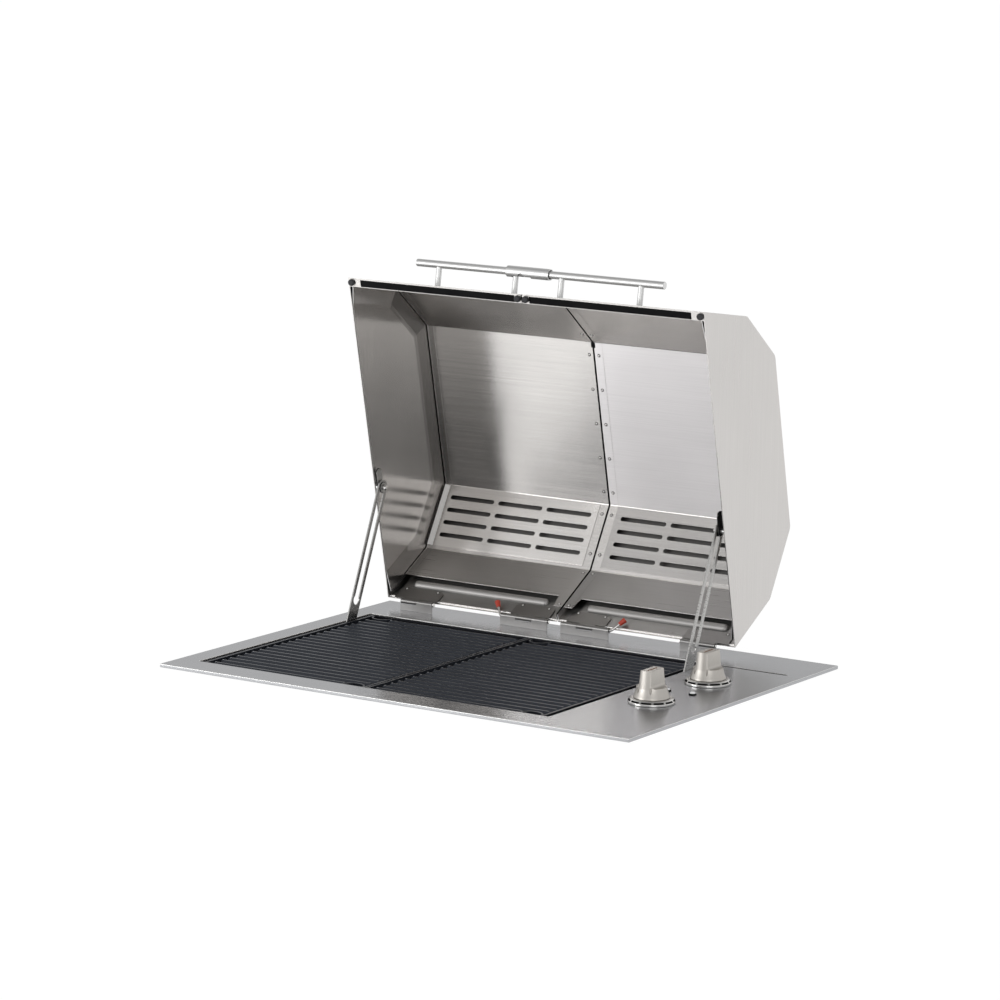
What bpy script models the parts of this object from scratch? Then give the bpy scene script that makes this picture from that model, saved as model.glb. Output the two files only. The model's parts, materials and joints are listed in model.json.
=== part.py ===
"""Built-in electric grill: a countertop flange with two ribbed plates and a twin hood.

Metres, +Z up. The grill is drawn from the flange's front left corner, X to the right, Y to the
back and Z from the flange's top face, and at the end it is set down with the middle of its
bounding box over the origin. Each hood half is drawn in its closed pose around its hinge axis,
with X as the distance from the seam between the halves, and is then opened and mirrored.
"""
import math

import bmesh
import bpy
from mathutils import Matrix, Vector

# Fits and overruns
GAP = 0.0003
OVERRUN = 0.004

# Countertop flange and its opening
FLANGE_RIGHT_BORDER = 0.031
FLANGE_REAR_BORDER = 0.113
FLANGE_SHEET = 0.002
FLANGE_EDGE = 0.006
OPENING_LEFT = 0.038
OPENING_FRONT = 0.055
OPENING_WIDTH = 0.673
OPENING_DEPTH = 0.492
REAR_SLOT_LENGTH = 0.125
REAR_SLOT_WIDTH = 0.003
REAR_SLOT_INSET = 0.0035
REAR_SLOT_SHIFT = 0.0095

# Tub below the flange
TUB_DEPTH = 0.150
TUB_SHEET = 0.0015
TUB_LIP = 0.012

# Cooking plates
PLATE_LEFT_WIDTH = 0.3178
PLATE_LEFT_GAP = 0.0062
PLATE_RIGHT_GAP = 0.0125
PLATE_END_GAP = 0.0025
PLATE_JOINT = 0.002
PLATE_SLAB = 0.007
PLATE_TOP_DROP = 0.0005
RIB_HEIGHT = 0.005
RIB_PITCH = 0.0205
RIB_FOOT = 0.009
RIB_TOP = 0.004
RIM_WIDTH = 0.006
RIM_ABOVE_RIBS = 0.0008
FINGER_HOLE = 0.018
FINGER_HOLE_INSET = 0.026
LEDGE_REACH = 0.014
LEDGE_SHEET = 0.002
LEDGE_LEG = 0.018

# Heating elements and their supports
ELEMENT_RADIUS = 0.004
ELEMENT_DROP = 0.040
ELEMENT_PITCH = 0.050
ELEMENT_LEGS = 4
ELEMENT_FRONT_START = 0.045
ELEMENT_REAR_MARGIN = 0.052
ELEMENT_END_MARGIN = 0.060
ELEMENT_TAIL = 0.024
ELEMENT_HOLE = 0.0055
SUPPORT_HEIGHT = 0.010
SUPPORT_SHEET = 0.003
SUPPORT_SHARES = (0.17, 0.50, 0.83)
SENSOR_BULB_RADIUS = 0.003
SENSOR_TUBE_RADIUS = 0.00125
SENSOR_BULB_LENGTH = 0.110
SENSOR_BULB_LEFT = 0.285
SENSOR_HOLE = 0.0024

# Drip tray
TRAY_SIDE_MARGIN = 0.045
TRAY_HEIGHT = 0.026
TRAY_SHEET = 0.0012
TRAY_BACK_MARGIN = 0.015
TRAY_SLOT_CLEARANCE = 0.002
TRAY_FRONT_BORDER = 0.008
TRAY_FRONT_STAND = 0.0008
TRAY_PULL = 0.016
TRAY_LIFT = 0.003
RUNNER_REACH = 0.010
RUNNER_CLEARANCE = 0.0015
RUNNER_SHEET = 0.0020
RUNNER_GUIDE = 0.012

# Controls
KNOB_FROM_BOX_SIDE = 0.0685
KNOB_FROM_OPENING_FRONT = 0.1815
KNOB_SPACING = 0.175
KNOB_BASE_RADIUS = 0.0257
KNOB_LEDGE_RADIUS = 0.0250
KNOB_TOP_RADIUS = 0.0215
KNOB_HEIGHT = 0.0525
KNOB_LEDGE_HEIGHT = 0.0252
KNOB_LIFT = 0.001
KNOB_EDGE = 0.0012
BLADE_TOP_WIDTH = 0.0185
BLADE_FOOT_WIDTH = 0.0220
BLADE_FILLET = 0.0050
POINTER_WIDTH = 0.0032
POINTER_LENGTH = 0.030
POINTER_DEPTH = 0.0010
BEZEL_RADIUS = 0.0378
BEZEL_SHOULDER = 0.0035
BEZEL_HEIGHT = 0.0086
BEZEL_TOP_RADIUS = 0.0340
BEZEL_BORE = 0.0265
BEZEL_SLOTS = 11
BEZEL_SLOT_INNER = 0.0325
BEZEL_SLOT_LOW = 0.0042
BEZEL_SLOT_HIGH = 0.0068
BEZEL_TICK = 0.0024
BEZEL_TURN = math.radians(-57)
SHAFT_RADIUS = 0.0030
SHAFT_HEIGHT = 0.014
SHAFT_CLEARANCE = 0.0004
BUSH_RADIUS = 0.0047
BUSH_CLEARANCE = 0.0004
THERMOSTAT_RADIUS = 0.020
THERMOSTAT_HEIGHT = 0.026
THERMOSTAT_PLATE = 0.050
THERMOSTAT_SHEET = 0.0015
LAMP_SPACING = 0.0465
LAMP_RADIUS = 0.0058
LAMP_DOME = 0.0046
LAMP_STEM_RADIUS = 0.0040
LAMP_STEM = 0.022
LAMP_NUT_RADIUS = 0.0075
LAMP_NUT = 0.003

# Control box under the flange
BOX_STANDOFF = 0.0065
BOX_WIDTH = 0.140
BOX_FRONT_INSET = 0.025
BOX_REAR_INSET = 0.027
BOX_HEIGHT = 0.092
BOX_SHEET = 0.0012
BOX_LIP = 0.010
COVER_SCREW_RADIUS = 0.004
COVER_SCREW_HEAD = 0.002
COVER_SCREW_INSET = 0.012
BLOCK_WIDTH = 0.014
BLOCK_LENGTH = 0.056
BLOCK_HEIGHT = 0.024
BLOCK_WAYS = 4
BLOCK_WALL = 0.002
GLAND_BORE = 0.005
GLAND_THREAD_RADIUS = 0.0078
GLAND_HOLE = 0.0082
GLAND_HEX_RADIUS = 0.0125
GLAND_HEX = 0.007
GLAND_CAP_RADIUS = 0.0100
GLAND_CAP = 0.012
GLAND_LOCKNUT = 0.004
GLAND_DROP = 0.050

# Benchtop clamps
CLAMP_WIDTH = 0.030
CLAMP_HEIGHT = 0.055
CLAMP_REACH = 0.034
CLAMP_SHEET = 0.0025
CLAMP_DROP = 0.020
CLAMP_SCREW_RADIUS = 0.003
CLAMP_SCREW_RISE = 0.022
CLAMP_PAD_RADIUS = 0.007
CLAMP_PAD = 0.003
CLAMP_SCREW_HEAD = 0.006
CLAMP_SHARE = 0.50

# Hood halves, closed profile measured from the rear rim: forward and up
SEAM_HALF_GAP = 0.001
LID_SIDE_OVERHANG = 0.0107
LID_END_OVERHANGS = 0.0936
REAR_WALL_INSET = 0.037
REAR_WALL_HEIGHT = 0.1244
REAR_SHOULDER_INSET = 0.1326
CROWN_HEIGHT = 0.2110
FRONT_SHOULDER_INSET = 0.1471
FRONT_WALL_INSET = 0.0519
FRONT_WALL_HEIGHT = 0.133
RIM_OPEN_ANGLE = math.radians(77.07)
HINGE_BEHIND_OPENING = 0.060
HINGE_Z = 0.0155
HINGE_BELOW_RIM = 0.0070
HINGE_AHEAD_OF_RIM = 0.0011

# Hood sheets
SKIN = 0.0012
LINER_INSET = 0.0120
LINER_SHEET = 0.0010
SIDE_INSET = 0.0060
LINER_REAR_EDGE = 0.047
LINER_TAB = 0.0175
LINER_TAB_SLANT = 0.004
LINER_TAB_END = 0.022
CHANNEL_SHEET = 0.0010
CHANNEL_WIDTH = 0.0165
VENT_BORDER_LOW = 0.010
VENT_BORDER_HIGH = 0.0056
VENT_SIDE_MARGIN = 0.0207
VENT_WINDOW_BORDER = 0.007
VENT_SHEET = 0.0010
VENT_ROWS = 4
VENT_COLUMNS = 3
VENT_ROW_PITCH = 0.0234
VENT_FIRST_ROW = 0.0315
VENT_COLUMN_PITCH = 0.0995
VENT_FIRST_COLUMN = 0.0298
VENT_SLOT_LENGTH = 0.0905
VENT_SLOT_HEIGHT = 0.0060
SEAL_WIDTH = 0.0088
SEAL_SEAM_MARGIN = 0.0155
SEAL_SIDE_MARGIN = 0.0245
SEAL_CENTRE_INSET = 0.0072
SEAL_BACKING = 0.0018
BUMPER_RADIUS = 0.0058
BUMPER_HEIGHT = 0.0050
BUMPER_SIDE_INSET = 0.0067
BUMPER_STEM_RADIUS = 0.0030
BEAD_RADIUS = 0.0060
BEAD_HEIGHT = 0.0045
BEAD_CENTRE = 0.0400
BEAD_SEAM_MARGIN = 0.0385
BEAD_SIDE_MARGIN = 0.0330
RIVET_RADIUS = 0.0026
RIVET_HEIGHT = 0.0011
RIVET_SEAM_INSET = 0.0085
CROWN_RIVETS = 5
CROWN_RIVET_MARGIN = 0.02795
REAR_WALL_RIVETS = (0.0311, 0.1175)
REAR_SHOULDER_RIVETS = (0.0328, 0.1063)
FRONT_SHOULDER_RIVETS = (0.0288,)

# Hinges, the inner one measured from the seam and the outer one from the hood's side
KNUCKLE_RADIUS = 0.0045
KNUCKLE_BORE = 0.0029
KNUCKLE_GAP = 0.0004
PIN_RADIUS = 0.0025
PIN_HEAD_RADIUS = 0.0040
PIN_HEAD = 0.0015
LEAF_SHEET = 0.0015
INNER_HINGE_NEAR = 0.0135
INNER_HINGE_LENGTH = 0.0945
OUTER_HINGE_SIDE_MARGIN = 0.0337
OUTER_HINGE_LENGTH = 0.0655
LID_LEAF_LOW = 0.0020
LID_LEAF_HIGH = 0.0300
LID_LEAF_RIVET = 0.0256
LID_LEAF_RIVET_INSET = 0.0120
INNER_LEAF_NEAR = 0.0173
INNER_LEAF_FAR = 0.0947
OUTER_LEAF_OVERHANG = 0.0032
OUTER_LEAF_SIDE_MARGIN = 0.0139
LEVER_RADIUS = 0.0016
LEVER_OUT = 0.017
LEVER_RISE = 0.018
LEVER_BACK = 0.018
LEVER_START = 0.004
LEVER_TIP_RADIUS = 0.0042
LEVER_TIP_LENGTH = 0.010

# Handle bars and their coupling sleeve
HANDLE_STANDOFF = 0.0366
HANDLE_FROM_RIM = 0.0490
BAR_RADIUS = 0.00635
BAR_START = 0.0014
BAR_SIDE_MARGIN = 0.1052
POST_RADIUS = 0.0049
POST_NEAR = 0.0448
POST_FROM_BAR_END = 0.0441
SLEEVE_RADIUS = 0.0095
SLEEVE_BORE = 0.0068
SLEEVE_PAST_SEAM = 0.0224
SLEEVE_REACH = 0.0608
SLEEVE_TRAVEL = 0.026
SLEEVE_SLOT_CLEARANCE = 0.0008
NOTCH_RADIUS = 0.0052
NOTCH_PLACE = 0.0300

# Stay arms
STAY_PIVOT_INSET = 0.0713
STAY_PIVOT_DROP = 0.022
STAY_PIN_FORWARD = 0.2045
STAY_PIN_RISE = 0.0053
STAY_EDGE_CLEARANCE = 0.0012
STAY_SHEET = 0.0025
STAY_WIDTH = 0.027
STAY_SLOT = 0.0130
STAY_KEYHOLE_RADIUS = 0.0085
STAY_KEYHOLE_PLACE = 0.0580
STAY_PIVOT_RADIUS = 0.0040
STAY_PIVOT_CLEARANCE = 0.0004
STAY_BOLT_HEAD = 0.0018
STAY_BOLT_HEAD_RADIUS = 0.0075
STAY_BOLT_NUT = 0.0050
STAY_STUD_RADIUS = 0.0040
STAY_SHANK_RADIUS = 0.0040
STAY_WASHER_RADIUS = 0.0090
STAY_WASHER = 0.0014
STAY_NUT_RADIUS = 0.0060
STAY_NUT_HEIGHT = 0.0075

# Detail of round shapes
ROUND_SIDES = 16
FINE_SIDES = 32
SMALL_SIDES = 8
SHARP_ANGLE = math.radians(35)

# Finishes: base colour, metallic and roughness
FINISHES = {
    "brushed_steel": ((0.62, 0.61, 0.59), 1.0, 0.28),
    "bright_steel": ((0.74, 0.73, 0.71), 1.0, 0.16),
    "satin_nickel": ((0.60, 0.57, 0.53), 1.0, 0.34),
    "cast_iron": ((0.030, 0.034, 0.040), 0.2, 0.48),
    "aluminised_steel": ((0.50, 0.51, 0.52), 1.0, 0.50),
    "element_sheath": ((0.10, 0.10, 0.11), 0.8, 0.45),
    "black_rubber": ((0.012, 0.012, 0.013), 0.0, 0.60),
    "red_plastic": ((0.62, 0.08, 0.03), 0.0, 0.40),
    "grey_plastic": ((0.16, 0.16, 0.17), 0.0, 0.50),
}

OPENING_RIGHT = OPENING_LEFT + OPENING_WIDTH
OPENING_REAR = OPENING_FRONT + OPENING_DEPTH
SEAM_X = OPENING_LEFT + OPENING_WIDTH / 2
PLATES_LEFT = OPENING_LEFT + PLATE_LEFT_GAP
PLATES_RIGHT = OPENING_RIGHT - PLATE_RIGHT_GAP
PLATE_RIGHT_WIDTH = PLATES_RIGHT - PLATES_LEFT - PLATE_LEFT_WIDTH - PLATE_JOINT
PLATE_BOTTOM = -PLATE_TOP_DROP - RIM_ABOVE_RIBS - RIB_HEIGHT - PLATE_SLAB
ELEMENT_REAR_START = OPENING_DEPTH - ELEMENT_REAR_MARGIN - (ELEMENT_LEGS - 1) * ELEMENT_PITCH
TUB_FLOOR = -TUB_DEPTH + TUB_SHEET
LIP_TOP = -FLANGE_SHEET - GAP
BOX_LEFT = OPENING_RIGHT + TUB_SHEET + BOX_STANDOFF
BOX_RIGHT = BOX_LEFT + BOX_WIDTH
BOX_FRONT = OPENING_FRONT + BOX_FRONT_INSET
BOX_REAR = OPENING_REAR - BOX_REAR_INSET
BOX_TOP = LIP_TOP - TUB_SHEET - GAP
KNOB_X = BOX_LEFT + KNOB_FROM_BOX_SIDE
KNOB_FRONT_Y = OPENING_FRONT + KNOB_FROM_OPENING_FRONT
KNOB_REAR_Y = KNOB_FRONT_Y + KNOB_SPACING
FLANGE_WIDTH = BOX_RIGHT + FLANGE_RIGHT_BORDER
FLANGE_DEPTH = OPENING_REAR + FLANGE_REAR_BORDER
HINGE_Y = OPENING_REAR + HINGE_BEHIND_OPENING
STAY_PIVOT_Y = OPENING_REAR - STAY_PIVOT_INSET
LID_SPAN = OPENING_WIDTH / 2 + LID_SIDE_OVERHANG
LID_DEPTH = OPENING_DEPTH + LID_END_OVERHANGS
OUTER_HINGE_NEAR = LID_SPAN - OUTER_HINGE_SIDE_MARGIN - OUTER_HINGE_LENGTH
OUTER_LEAF_NEAR = OUTER_HINGE_NEAR - OUTER_LEAF_OVERHANG
OUTER_LEAF_FAR = LID_SPAN - OUTER_LEAF_SIDE_MARGIN
BAR_END = LID_SPAN - BAR_SIDE_MARGIN
POST_FAR = BAR_END - POST_FROM_BAR_END
LID_CORNERS = (
    (0, 0),
    (REAR_WALL_INSET, REAR_WALL_HEIGHT),
    (REAR_SHOULDER_INSET, CROWN_HEIGHT),
    (LID_DEPTH - FRONT_SHOULDER_INSET, CROWN_HEIGHT),
    (LID_DEPTH - FRONT_WALL_INSET, FRONT_WALL_HEIGHT),
    (LID_DEPTH, 0),
)
REAR_WALL, REAR_SHOULDER, CROWN, FRONT_SHOULDER, FRONT_WALL = range(5)


def clear_scene():
    for thing in list(bpy.data.objects):
        bpy.data.objects.remove(thing, do_unlink=True)


# Shapes
def to_object(shape, name="piece"):
    bmesh.ops.remove_doubles(shape, verts=shape.verts, dist=GAP / 30)
    bmesh.ops.recalc_face_normals(shape, faces=shape.faces)
    mesh = bpy.data.meshes.new(name)
    shape.to_mesh(mesh)
    shape.free()
    thing = bpy.data.objects.new(name, mesh)
    bpy.context.scene.collection.objects.link(thing)
    return thing


def prism(outline, low, high, axis="X"):
    """A closed outline carried from low to high along an axis.

    The outline is in Y, Z along X; in X, Z along Y; and in X, Y along Z.
    """
    place = {
        "X": lambda a, b, c: (c, a, b),
        "Y": lambda a, b, c: (a, c, b),
        "Z": lambda a, b, c: (a, b, c),
    }[axis]
    shape = bmesh.new()
    rings = [[shape.verts.new(place(a, b, end)) for a, b in outline] for end in (low, high)]
    shape.faces.new(rings[0])
    shape.faces.new(rings[1])
    count = len(outline)
    for i in range(count):
        j = (i + 1) % count
        shape.faces.new((rings[0][i], rings[0][j], rings[1][j], rings[1][i]))
    return to_object(shape)


def block(low, high):
    outline = [(low[0], low[1]), (high[0], low[1]), (high[0], high[1]), (low[0], high[1])]
    return prism(outline, low[2], high[2], "Z")


def circle(radius, sides, centre=(0, 0), start=0.0):
    step = 2 * math.pi / sides
    return [
        (centre[0] + radius * math.cos(start + i * step), centre[1] + radius * math.sin(start + i * step))
        for i in range(sides)
    ]


def stadium(length, width, centre=(0, 0), half_sides=SMALL_SIDES // 2):
    """An outline with round ends, its long way along the first coordinate."""
    radius = width / 2
    reach = length / 2 - radius
    points = []
    for side in (1, -1):
        for i in range(half_sides + 1):
            turn = -math.pi / 2 + math.pi * i / half_sides
            points.append((centre[0] + side * (reach + radius * math.cos(turn)),
                           centre[1] + side * radius * math.sin(turn)))
    return points


def rod(start, end, radius, sides=ROUND_SIDES, end_radius=None):
    start, end = Vector(start), Vector(end)
    way = end - start
    turn = way.to_track_quat("Z", "Y").to_matrix().to_4x4()
    shape = bmesh.new()
    bmesh.ops.create_cone(
        shape, cap_ends=True, segments=sides, radius1=radius,
        radius2=radius if end_radius is None else end_radius, depth=way.length,
        matrix=Matrix.Translation((start + end) / 2) @ turn,
    )
    return to_object(shape)


def turned(profile, centre=(0, 0, 0), axis="Z", sides=FINE_SIDES):
    """A profile of radius and height pairs turned around an axis. Radius 0 closes on the axis."""
    place = {
        "X": lambda x, y, z: (z, x, y),
        "Y": lambda x, y, z: (y, z, x),
        "Z": lambda x, y, z: (x, y, z),
    }[axis]
    shape = bmesh.new()
    rings = []
    for radius, height in profile:
        if radius == 0:
            spots = [(0, 0)]
        else:
            spots = circle(radius, sides)
        rings.append([shape.verts.new(Vector(place(x, y, height)) + Vector(centre)) for x, y in spots])
    pairs = list(zip(rings, rings[1:]))
    if len(rings[0]) > 1:
        pairs.append((rings[-1], rings[0]))
    for lower, upper in pairs:
        for i in range(sides):
            j = (i + 1) % sides
            corners = [lower[i % len(lower)], lower[j % len(lower)]]
            corners += [upper[j % len(upper)], upper[i % len(upper)]]
            unique = list(dict.fromkeys(corners))
            if len(unique) > 2:
                shape.faces.new(unique)
    return to_object(shape)


def tube(points, radii, sides):
    """A solid tube along points, with a radius at each one."""
    curve = bpy.data.curves.new("path", "CURVE")
    curve.dimensions = "3D"
    curve.use_fill_caps = True
    curve.bevel_depth = 1.0
    curve.bevel_resolution = sides // 2 - 2
    spline = curve.splines.new("POLY")
    spline.points.add(len(points) - 1)
    for spot, point, radius in zip(spline.points, points, radii):
        spot.co = (*point, 1)
        spot.radius = radius
    guide = bpy.data.objects.new("path", curve)
    bpy.context.scene.collection.objects.link(guide)
    graph = bpy.context.evaluated_depsgraph_get()
    mesh = bpy.data.meshes.new_from_object(guide.evaluated_get(graph))
    bpy.data.objects.remove(guide, do_unlink=True)
    shape = bmesh.new()
    shape.from_mesh(mesh)
    return to_object(shape)


# Working with shapes
def group(*pieces):
    """One object that holds separate bodies."""
    shape = bmesh.new()
    for piece in pieces:
        piece.data.transform(piece.matrix_world)
        shape.from_mesh(piece.data)
        bpy.data.objects.remove(piece, do_unlink=True)
    return to_object(shape)


def combine(body, tool, operation):
    step = body.modifiers.new("combine", "BOOLEAN")
    step.operation = operation
    step.solver = "EXACT"
    step.object = tool
    graph = bpy.context.evaluated_depsgraph_get()
    mesh = bpy.data.meshes.new_from_object(body.evaluated_get(graph))
    body.modifiers.remove(step)
    body.data = mesh
    bpy.data.objects.remove(tool, do_unlink=True)
    return body


def fuse(body, *others):
    for other in others:
        combine(body, other, "UNION")
    return body


def carve(body, *cutters):
    """Cut cutters away. Cutters that don't touch each other come as one group."""
    for cutter in cutters:
        combine(body, cutter, "DIFFERENCE")
    return body


def moved(thing, matrix):
    thing.data.transform(matrix)
    if matrix.determinant() < 0:
        thing.data.flip_normals()
    return thing


def material(name, finish):
    colour, metallic, roughness = FINISHES[finish]
    result = bpy.data.materials.new(name + "_finish")
    result.use_nodes = True
    shader = result.node_tree.nodes["Principled BSDF"]
    shader.inputs["Base Color"].default_value = (*colour, 1)
    shader.inputs["Metallic"].default_value = metallic
    shader.inputs["Roughness"].default_value = roughness
    result.diffuse_color = (*colour, 1)
    return result


def node(thing, name, finish, carrier=None, smooth=True):
    """Name a finished sub-part, give it its own finish and hang it on its carrier."""
    thing.name = name
    thing.data.name = name
    thing.data.materials.clear()
    thing.data.materials.append(material(name, finish))
    if smooth:
        thing.data.shade_smooth()
        thing.data.set_sharp_from_angle(angle=SHARP_ANGLE)
    if carrier is not None:
        thing.parent = carrier
    return thing


def axis_empty(name, location, turn=0.0, carrier=None):
    empty = bpy.data.objects.new(name, None)
    empty.location = location
    empty.rotation_euler = (turn, 0, 0)
    empty.parent = carrier
    bpy.context.scene.collection.objects.link(empty)
    return empty


# Base
def flange_plate():
    plate = block((0, 0, -FLANGE_EDGE), (FLANGE_WIDTH, FLANGE_DEPTH, 0))
    inside = block(
        (FLANGE_SHEET, FLANGE_SHEET, -FLANGE_EDGE - OVERRUN),
        (FLANGE_WIDTH - FLANGE_SHEET, FLANGE_DEPTH - FLANGE_SHEET, -FLANGE_SHEET),
    )
    opening = block(
        (OPENING_LEFT, OPENING_FRONT, -FLANGE_EDGE - OVERRUN),
        (OPENING_RIGHT, OPENING_REAR, OVERRUN),
    )
    slot_centre = (KNOB_X + REAR_SLOT_SHIFT, OPENING_REAR - REAR_SLOT_INSET)
    cuts = [opening, prism(stadium(REAR_SLOT_LENGTH, REAR_SLOT_WIDTH, slot_centre), -FLANGE_EDGE, OVERRUN, "Z")]
    for y in (KNOB_FRONT_Y, KNOB_REAR_Y):
        cuts.append(rod((KNOB_X, y, -FLANGE_EDGE), (KNOB_X, y, OVERRUN), BUSH_RADIUS + BUSH_CLEARANCE))
    for x in lamp_places():
        cuts.append(rod((x, lamp_y(), -FLANGE_EDGE), (x, lamp_y(), OVERRUN), LAMP_STEM_RADIUS + BUSH_CLEARANCE))
    return node(carve(plate, inside, group(*cuts)), "flange_plate", "brushed_steel")


def lamp_places():
    return (KNOB_X - LAMP_SPACING / 2, KNOB_X + LAMP_SPACING / 2)


def lamp_y():
    return (KNOB_FRONT_Y + KNOB_REAR_Y) / 2


def element_ys(start):
    return [OPENING_FRONT + start + i * ELEMENT_PITCH for i in range(ELEMENT_LEGS)]


def sensor_y(start):
    """Between an element's first two legs."""
    return OPENING_FRONT + start + ELEMENT_PITCH / 2


def tray_box():
    """Lowest and highest corner of the drip tray's pan."""
    floor = TUB_FLOOR + TRAY_LIFT
    low = (OPENING_LEFT + TRAY_SIDE_MARGIN, OPENING_FRONT - TUB_SHEET - TRAY_FRONT_STAND, floor)
    high = (OPENING_RIGHT - TRAY_SIDE_MARGIN, OPENING_REAR - TRAY_BACK_MARGIN, floor + TRAY_HEIGHT)
    return low, high


def tub():
    top = LIP_TOP
    body = block(
        (OPENING_LEFT - TUB_SHEET, OPENING_FRONT - TUB_SHEET, -TUB_DEPTH),
        (OPENING_RIGHT + TUB_SHEET, OPENING_REAR + TUB_SHEET, top),
    )
    lip = block(
        (OPENING_LEFT - TUB_LIP, OPENING_FRONT - TUB_LIP, top - TUB_SHEET),
        (OPENING_RIGHT + TUB_LIP, OPENING_REAR + TUB_LIP, top),
    )
    inside = block((OPENING_LEFT, OPENING_FRONT, TUB_FLOOR), (OPENING_RIGHT, OPENING_REAR, OVERRUN))
    tray_low, tray_high = tray_box()
    room = TRAY_SLOT_CLEARANCE
    tray_slot = block(
        (tray_low[0] - room, OPENING_FRONT - TUB_SHEET - OVERRUN, tray_low[2] - room / 2),
        (tray_high[0] + room, OPENING_FRONT + OVERRUN, tray_high[2] + room),
    )
    holes = [tray_slot]
    holes += wall_holes(OPENING_RIGHT - OVERRUN, OPENING_RIGHT + TUB_SHEET + OVERRUN)
    for x in (OPENING_LEFT, OPENING_RIGHT):
        start, end = x - TUB_SHEET - OVERRUN, x + TUB_SHEET + OVERRUN
        hole = STAY_PIVOT_RADIUS + STAY_PIVOT_CLEARANCE
        holes.append(rod((start, STAY_PIVOT_Y, -STAY_PIVOT_DROP), (end, STAY_PIVOT_Y, -STAY_PIVOT_DROP), hole))
    return node(carve(fuse(body, lip), inside, group(*holes)), "tub", "aluminised_steel")


def plate_frame():
    """A frame of angle around the opening that the cooking plates rest on."""
    top = PLATE_BOTTOM - GAP
    front, rear = OPENING_FRONT + GAP, OPENING_REAR - GAP
    outside = block((PLATES_LEFT, front, top - LEDGE_LEG), (PLATES_RIGHT, rear, top))
    low = top - LEDGE_LEG - OVERRUN
    cuts = [
        block((PLATES_LEFT + inset, front + inset, low), (PLATES_RIGHT - inset, rear - inset, end))
        for inset, end in ((LEDGE_SHEET, top - LEDGE_SHEET), (LEDGE_REACH, top + OVERRUN))
    ]
    return node(carve(outside, *cuts), "plate_frame", "aluminised_steel", smooth=False)


def rib_outline(front, rear, top):
    """Cross-section of the ribbed slab from front to rear."""
    valley = top - RIB_HEIGHT
    bottom = valley - PLATE_SLAB
    count = int((rear - front - 2 * RIM_WIDTH) / RIB_PITCH)
    first = (front + rear) / 2 - (count - 1) * RIB_PITCH / 2
    points = [(front, bottom), (front, valley)]
    for i in range(count):
        y = first + i * RIB_PITCH
        points += [
            (y - RIB_FOOT / 2, valley), (y - RIB_TOP / 2, top),
            (y + RIB_TOP / 2, top), (y + RIB_FOOT / 2, valley),
        ]
    return points + [(rear, valley), (rear, bottom)]


def cooking_plate(name, left, width):
    rim_top = -PLATE_TOP_DROP
    rib_top = rim_top - RIM_ABOVE_RIBS
    bottom = PLATE_BOTTOM
    front, rear = OPENING_FRONT + PLATE_END_GAP, OPENING_REAR - PLATE_END_GAP
    right = left + width
    slab = prism(rib_outline(front, rear, rib_top), left + RIM_WIDTH / 2, right - RIM_WIDTH / 2)
    frame = block((left, front, bottom), (right, rear, rim_top))
    hollow = block(
        (left + RIM_WIDTH, front + RIM_WIDTH, bottom - OVERRUN),
        (right - RIM_WIDTH, rear - RIM_WIDTH, rim_top + OVERRUN),
    )
    plate = fuse(slab, carve(frame, hollow))
    finger_holes = []
    for x, y, turn in (
        (left + FINGER_HOLE_INSET, rear - RIM_WIDTH, math.pi),
        (right - FINGER_HOLE_INSET, front + RIM_WIDTH, 0.0),
    ):
        half = [(x + FINGER_HOLE * math.cos(turn + math.pi * i / SMALL_SIDES),
                 y + FINGER_HOLE * math.sin(turn + math.pi * i / SMALL_SIDES)) for i in range(SMALL_SIDES + 1)]
        finger_holes.append(prism(half, bottom - OVERRUN, OVERRUN, "Z"))
    return node(carve(plate, group(*finger_holes)), name, "cast_iron")


def bend_points(centre, radius, start, sweep, steps=SMALL_SIDES):
    return [
        (centre[0] + radius * math.cos(start + sweep * i / steps),
         centre[1] + radius * math.sin(start + sweep * i / steps))
        for i in range(1, steps)
    ]


def heating_element(name, start):
    """A round rod that runs to and fro under the plates, with both ends in the control box."""
    legs = element_ys(start)
    right_end = OPENING_RIGHT + ELEMENT_TAIL
    bend = ELEMENT_PITCH / 2
    left_turn = OPENING_LEFT + ELEMENT_END_MARGIN
    right_turn = OPENING_RIGHT - ELEMENT_END_MARGIN
    path = [(right_end, legs[0])]
    for i, y in enumerate(legs[:-1]):
        leftward = i % 2 == 0
        x = left_turn if leftward else right_turn
        path.append((x, y))
        first, sweep = (-math.pi / 2, -math.pi) if leftward else (-math.pi / 2, math.pi)
        path += bend_points((x, y + bend), bend, first, sweep)
        path.append((x, y + ELEMENT_PITCH))
    path.append((right_end, legs[-1]))
    points = [(x, y, -ELEMENT_DROP) for x, y in path]
    return node(tube(points, [ELEMENT_RADIUS] * len(points), SMALL_SIDES), name, "element_sheath")


def support_top():
    return -ELEMENT_DROP - ELEMENT_RADIUS - GAP


def element_rack():
    """Upright bars under the elements, tied by a bar along each end."""
    top, low = support_top(), support_top() - SUPPORT_HEIGHT
    front, rear = OPENING_FRONT + GAP, OPENING_REAR - GAP
    half = SUPPORT_SHEET / 2
    places = [OPENING_LEFT + share * OPENING_WIDTH for share in SUPPORT_SHARES]
    rack = block((places[0] - half, front, low), (places[-1] + half, rear, top))
    openings = [
        block(
            (start + half, front + SUPPORT_SHEET, low - OVERRUN),
            (end - half, rear - SUPPORT_SHEET, top + OVERRUN),
        )
        for start, end in zip(places, places[1:])
    ]
    return node(carve(rack, group(*openings)), "element_rack", "aluminised_steel", smooth=False)


def sensor_z():
    return support_top() + GAP + SENSOR_BULB_RADIUS


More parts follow.
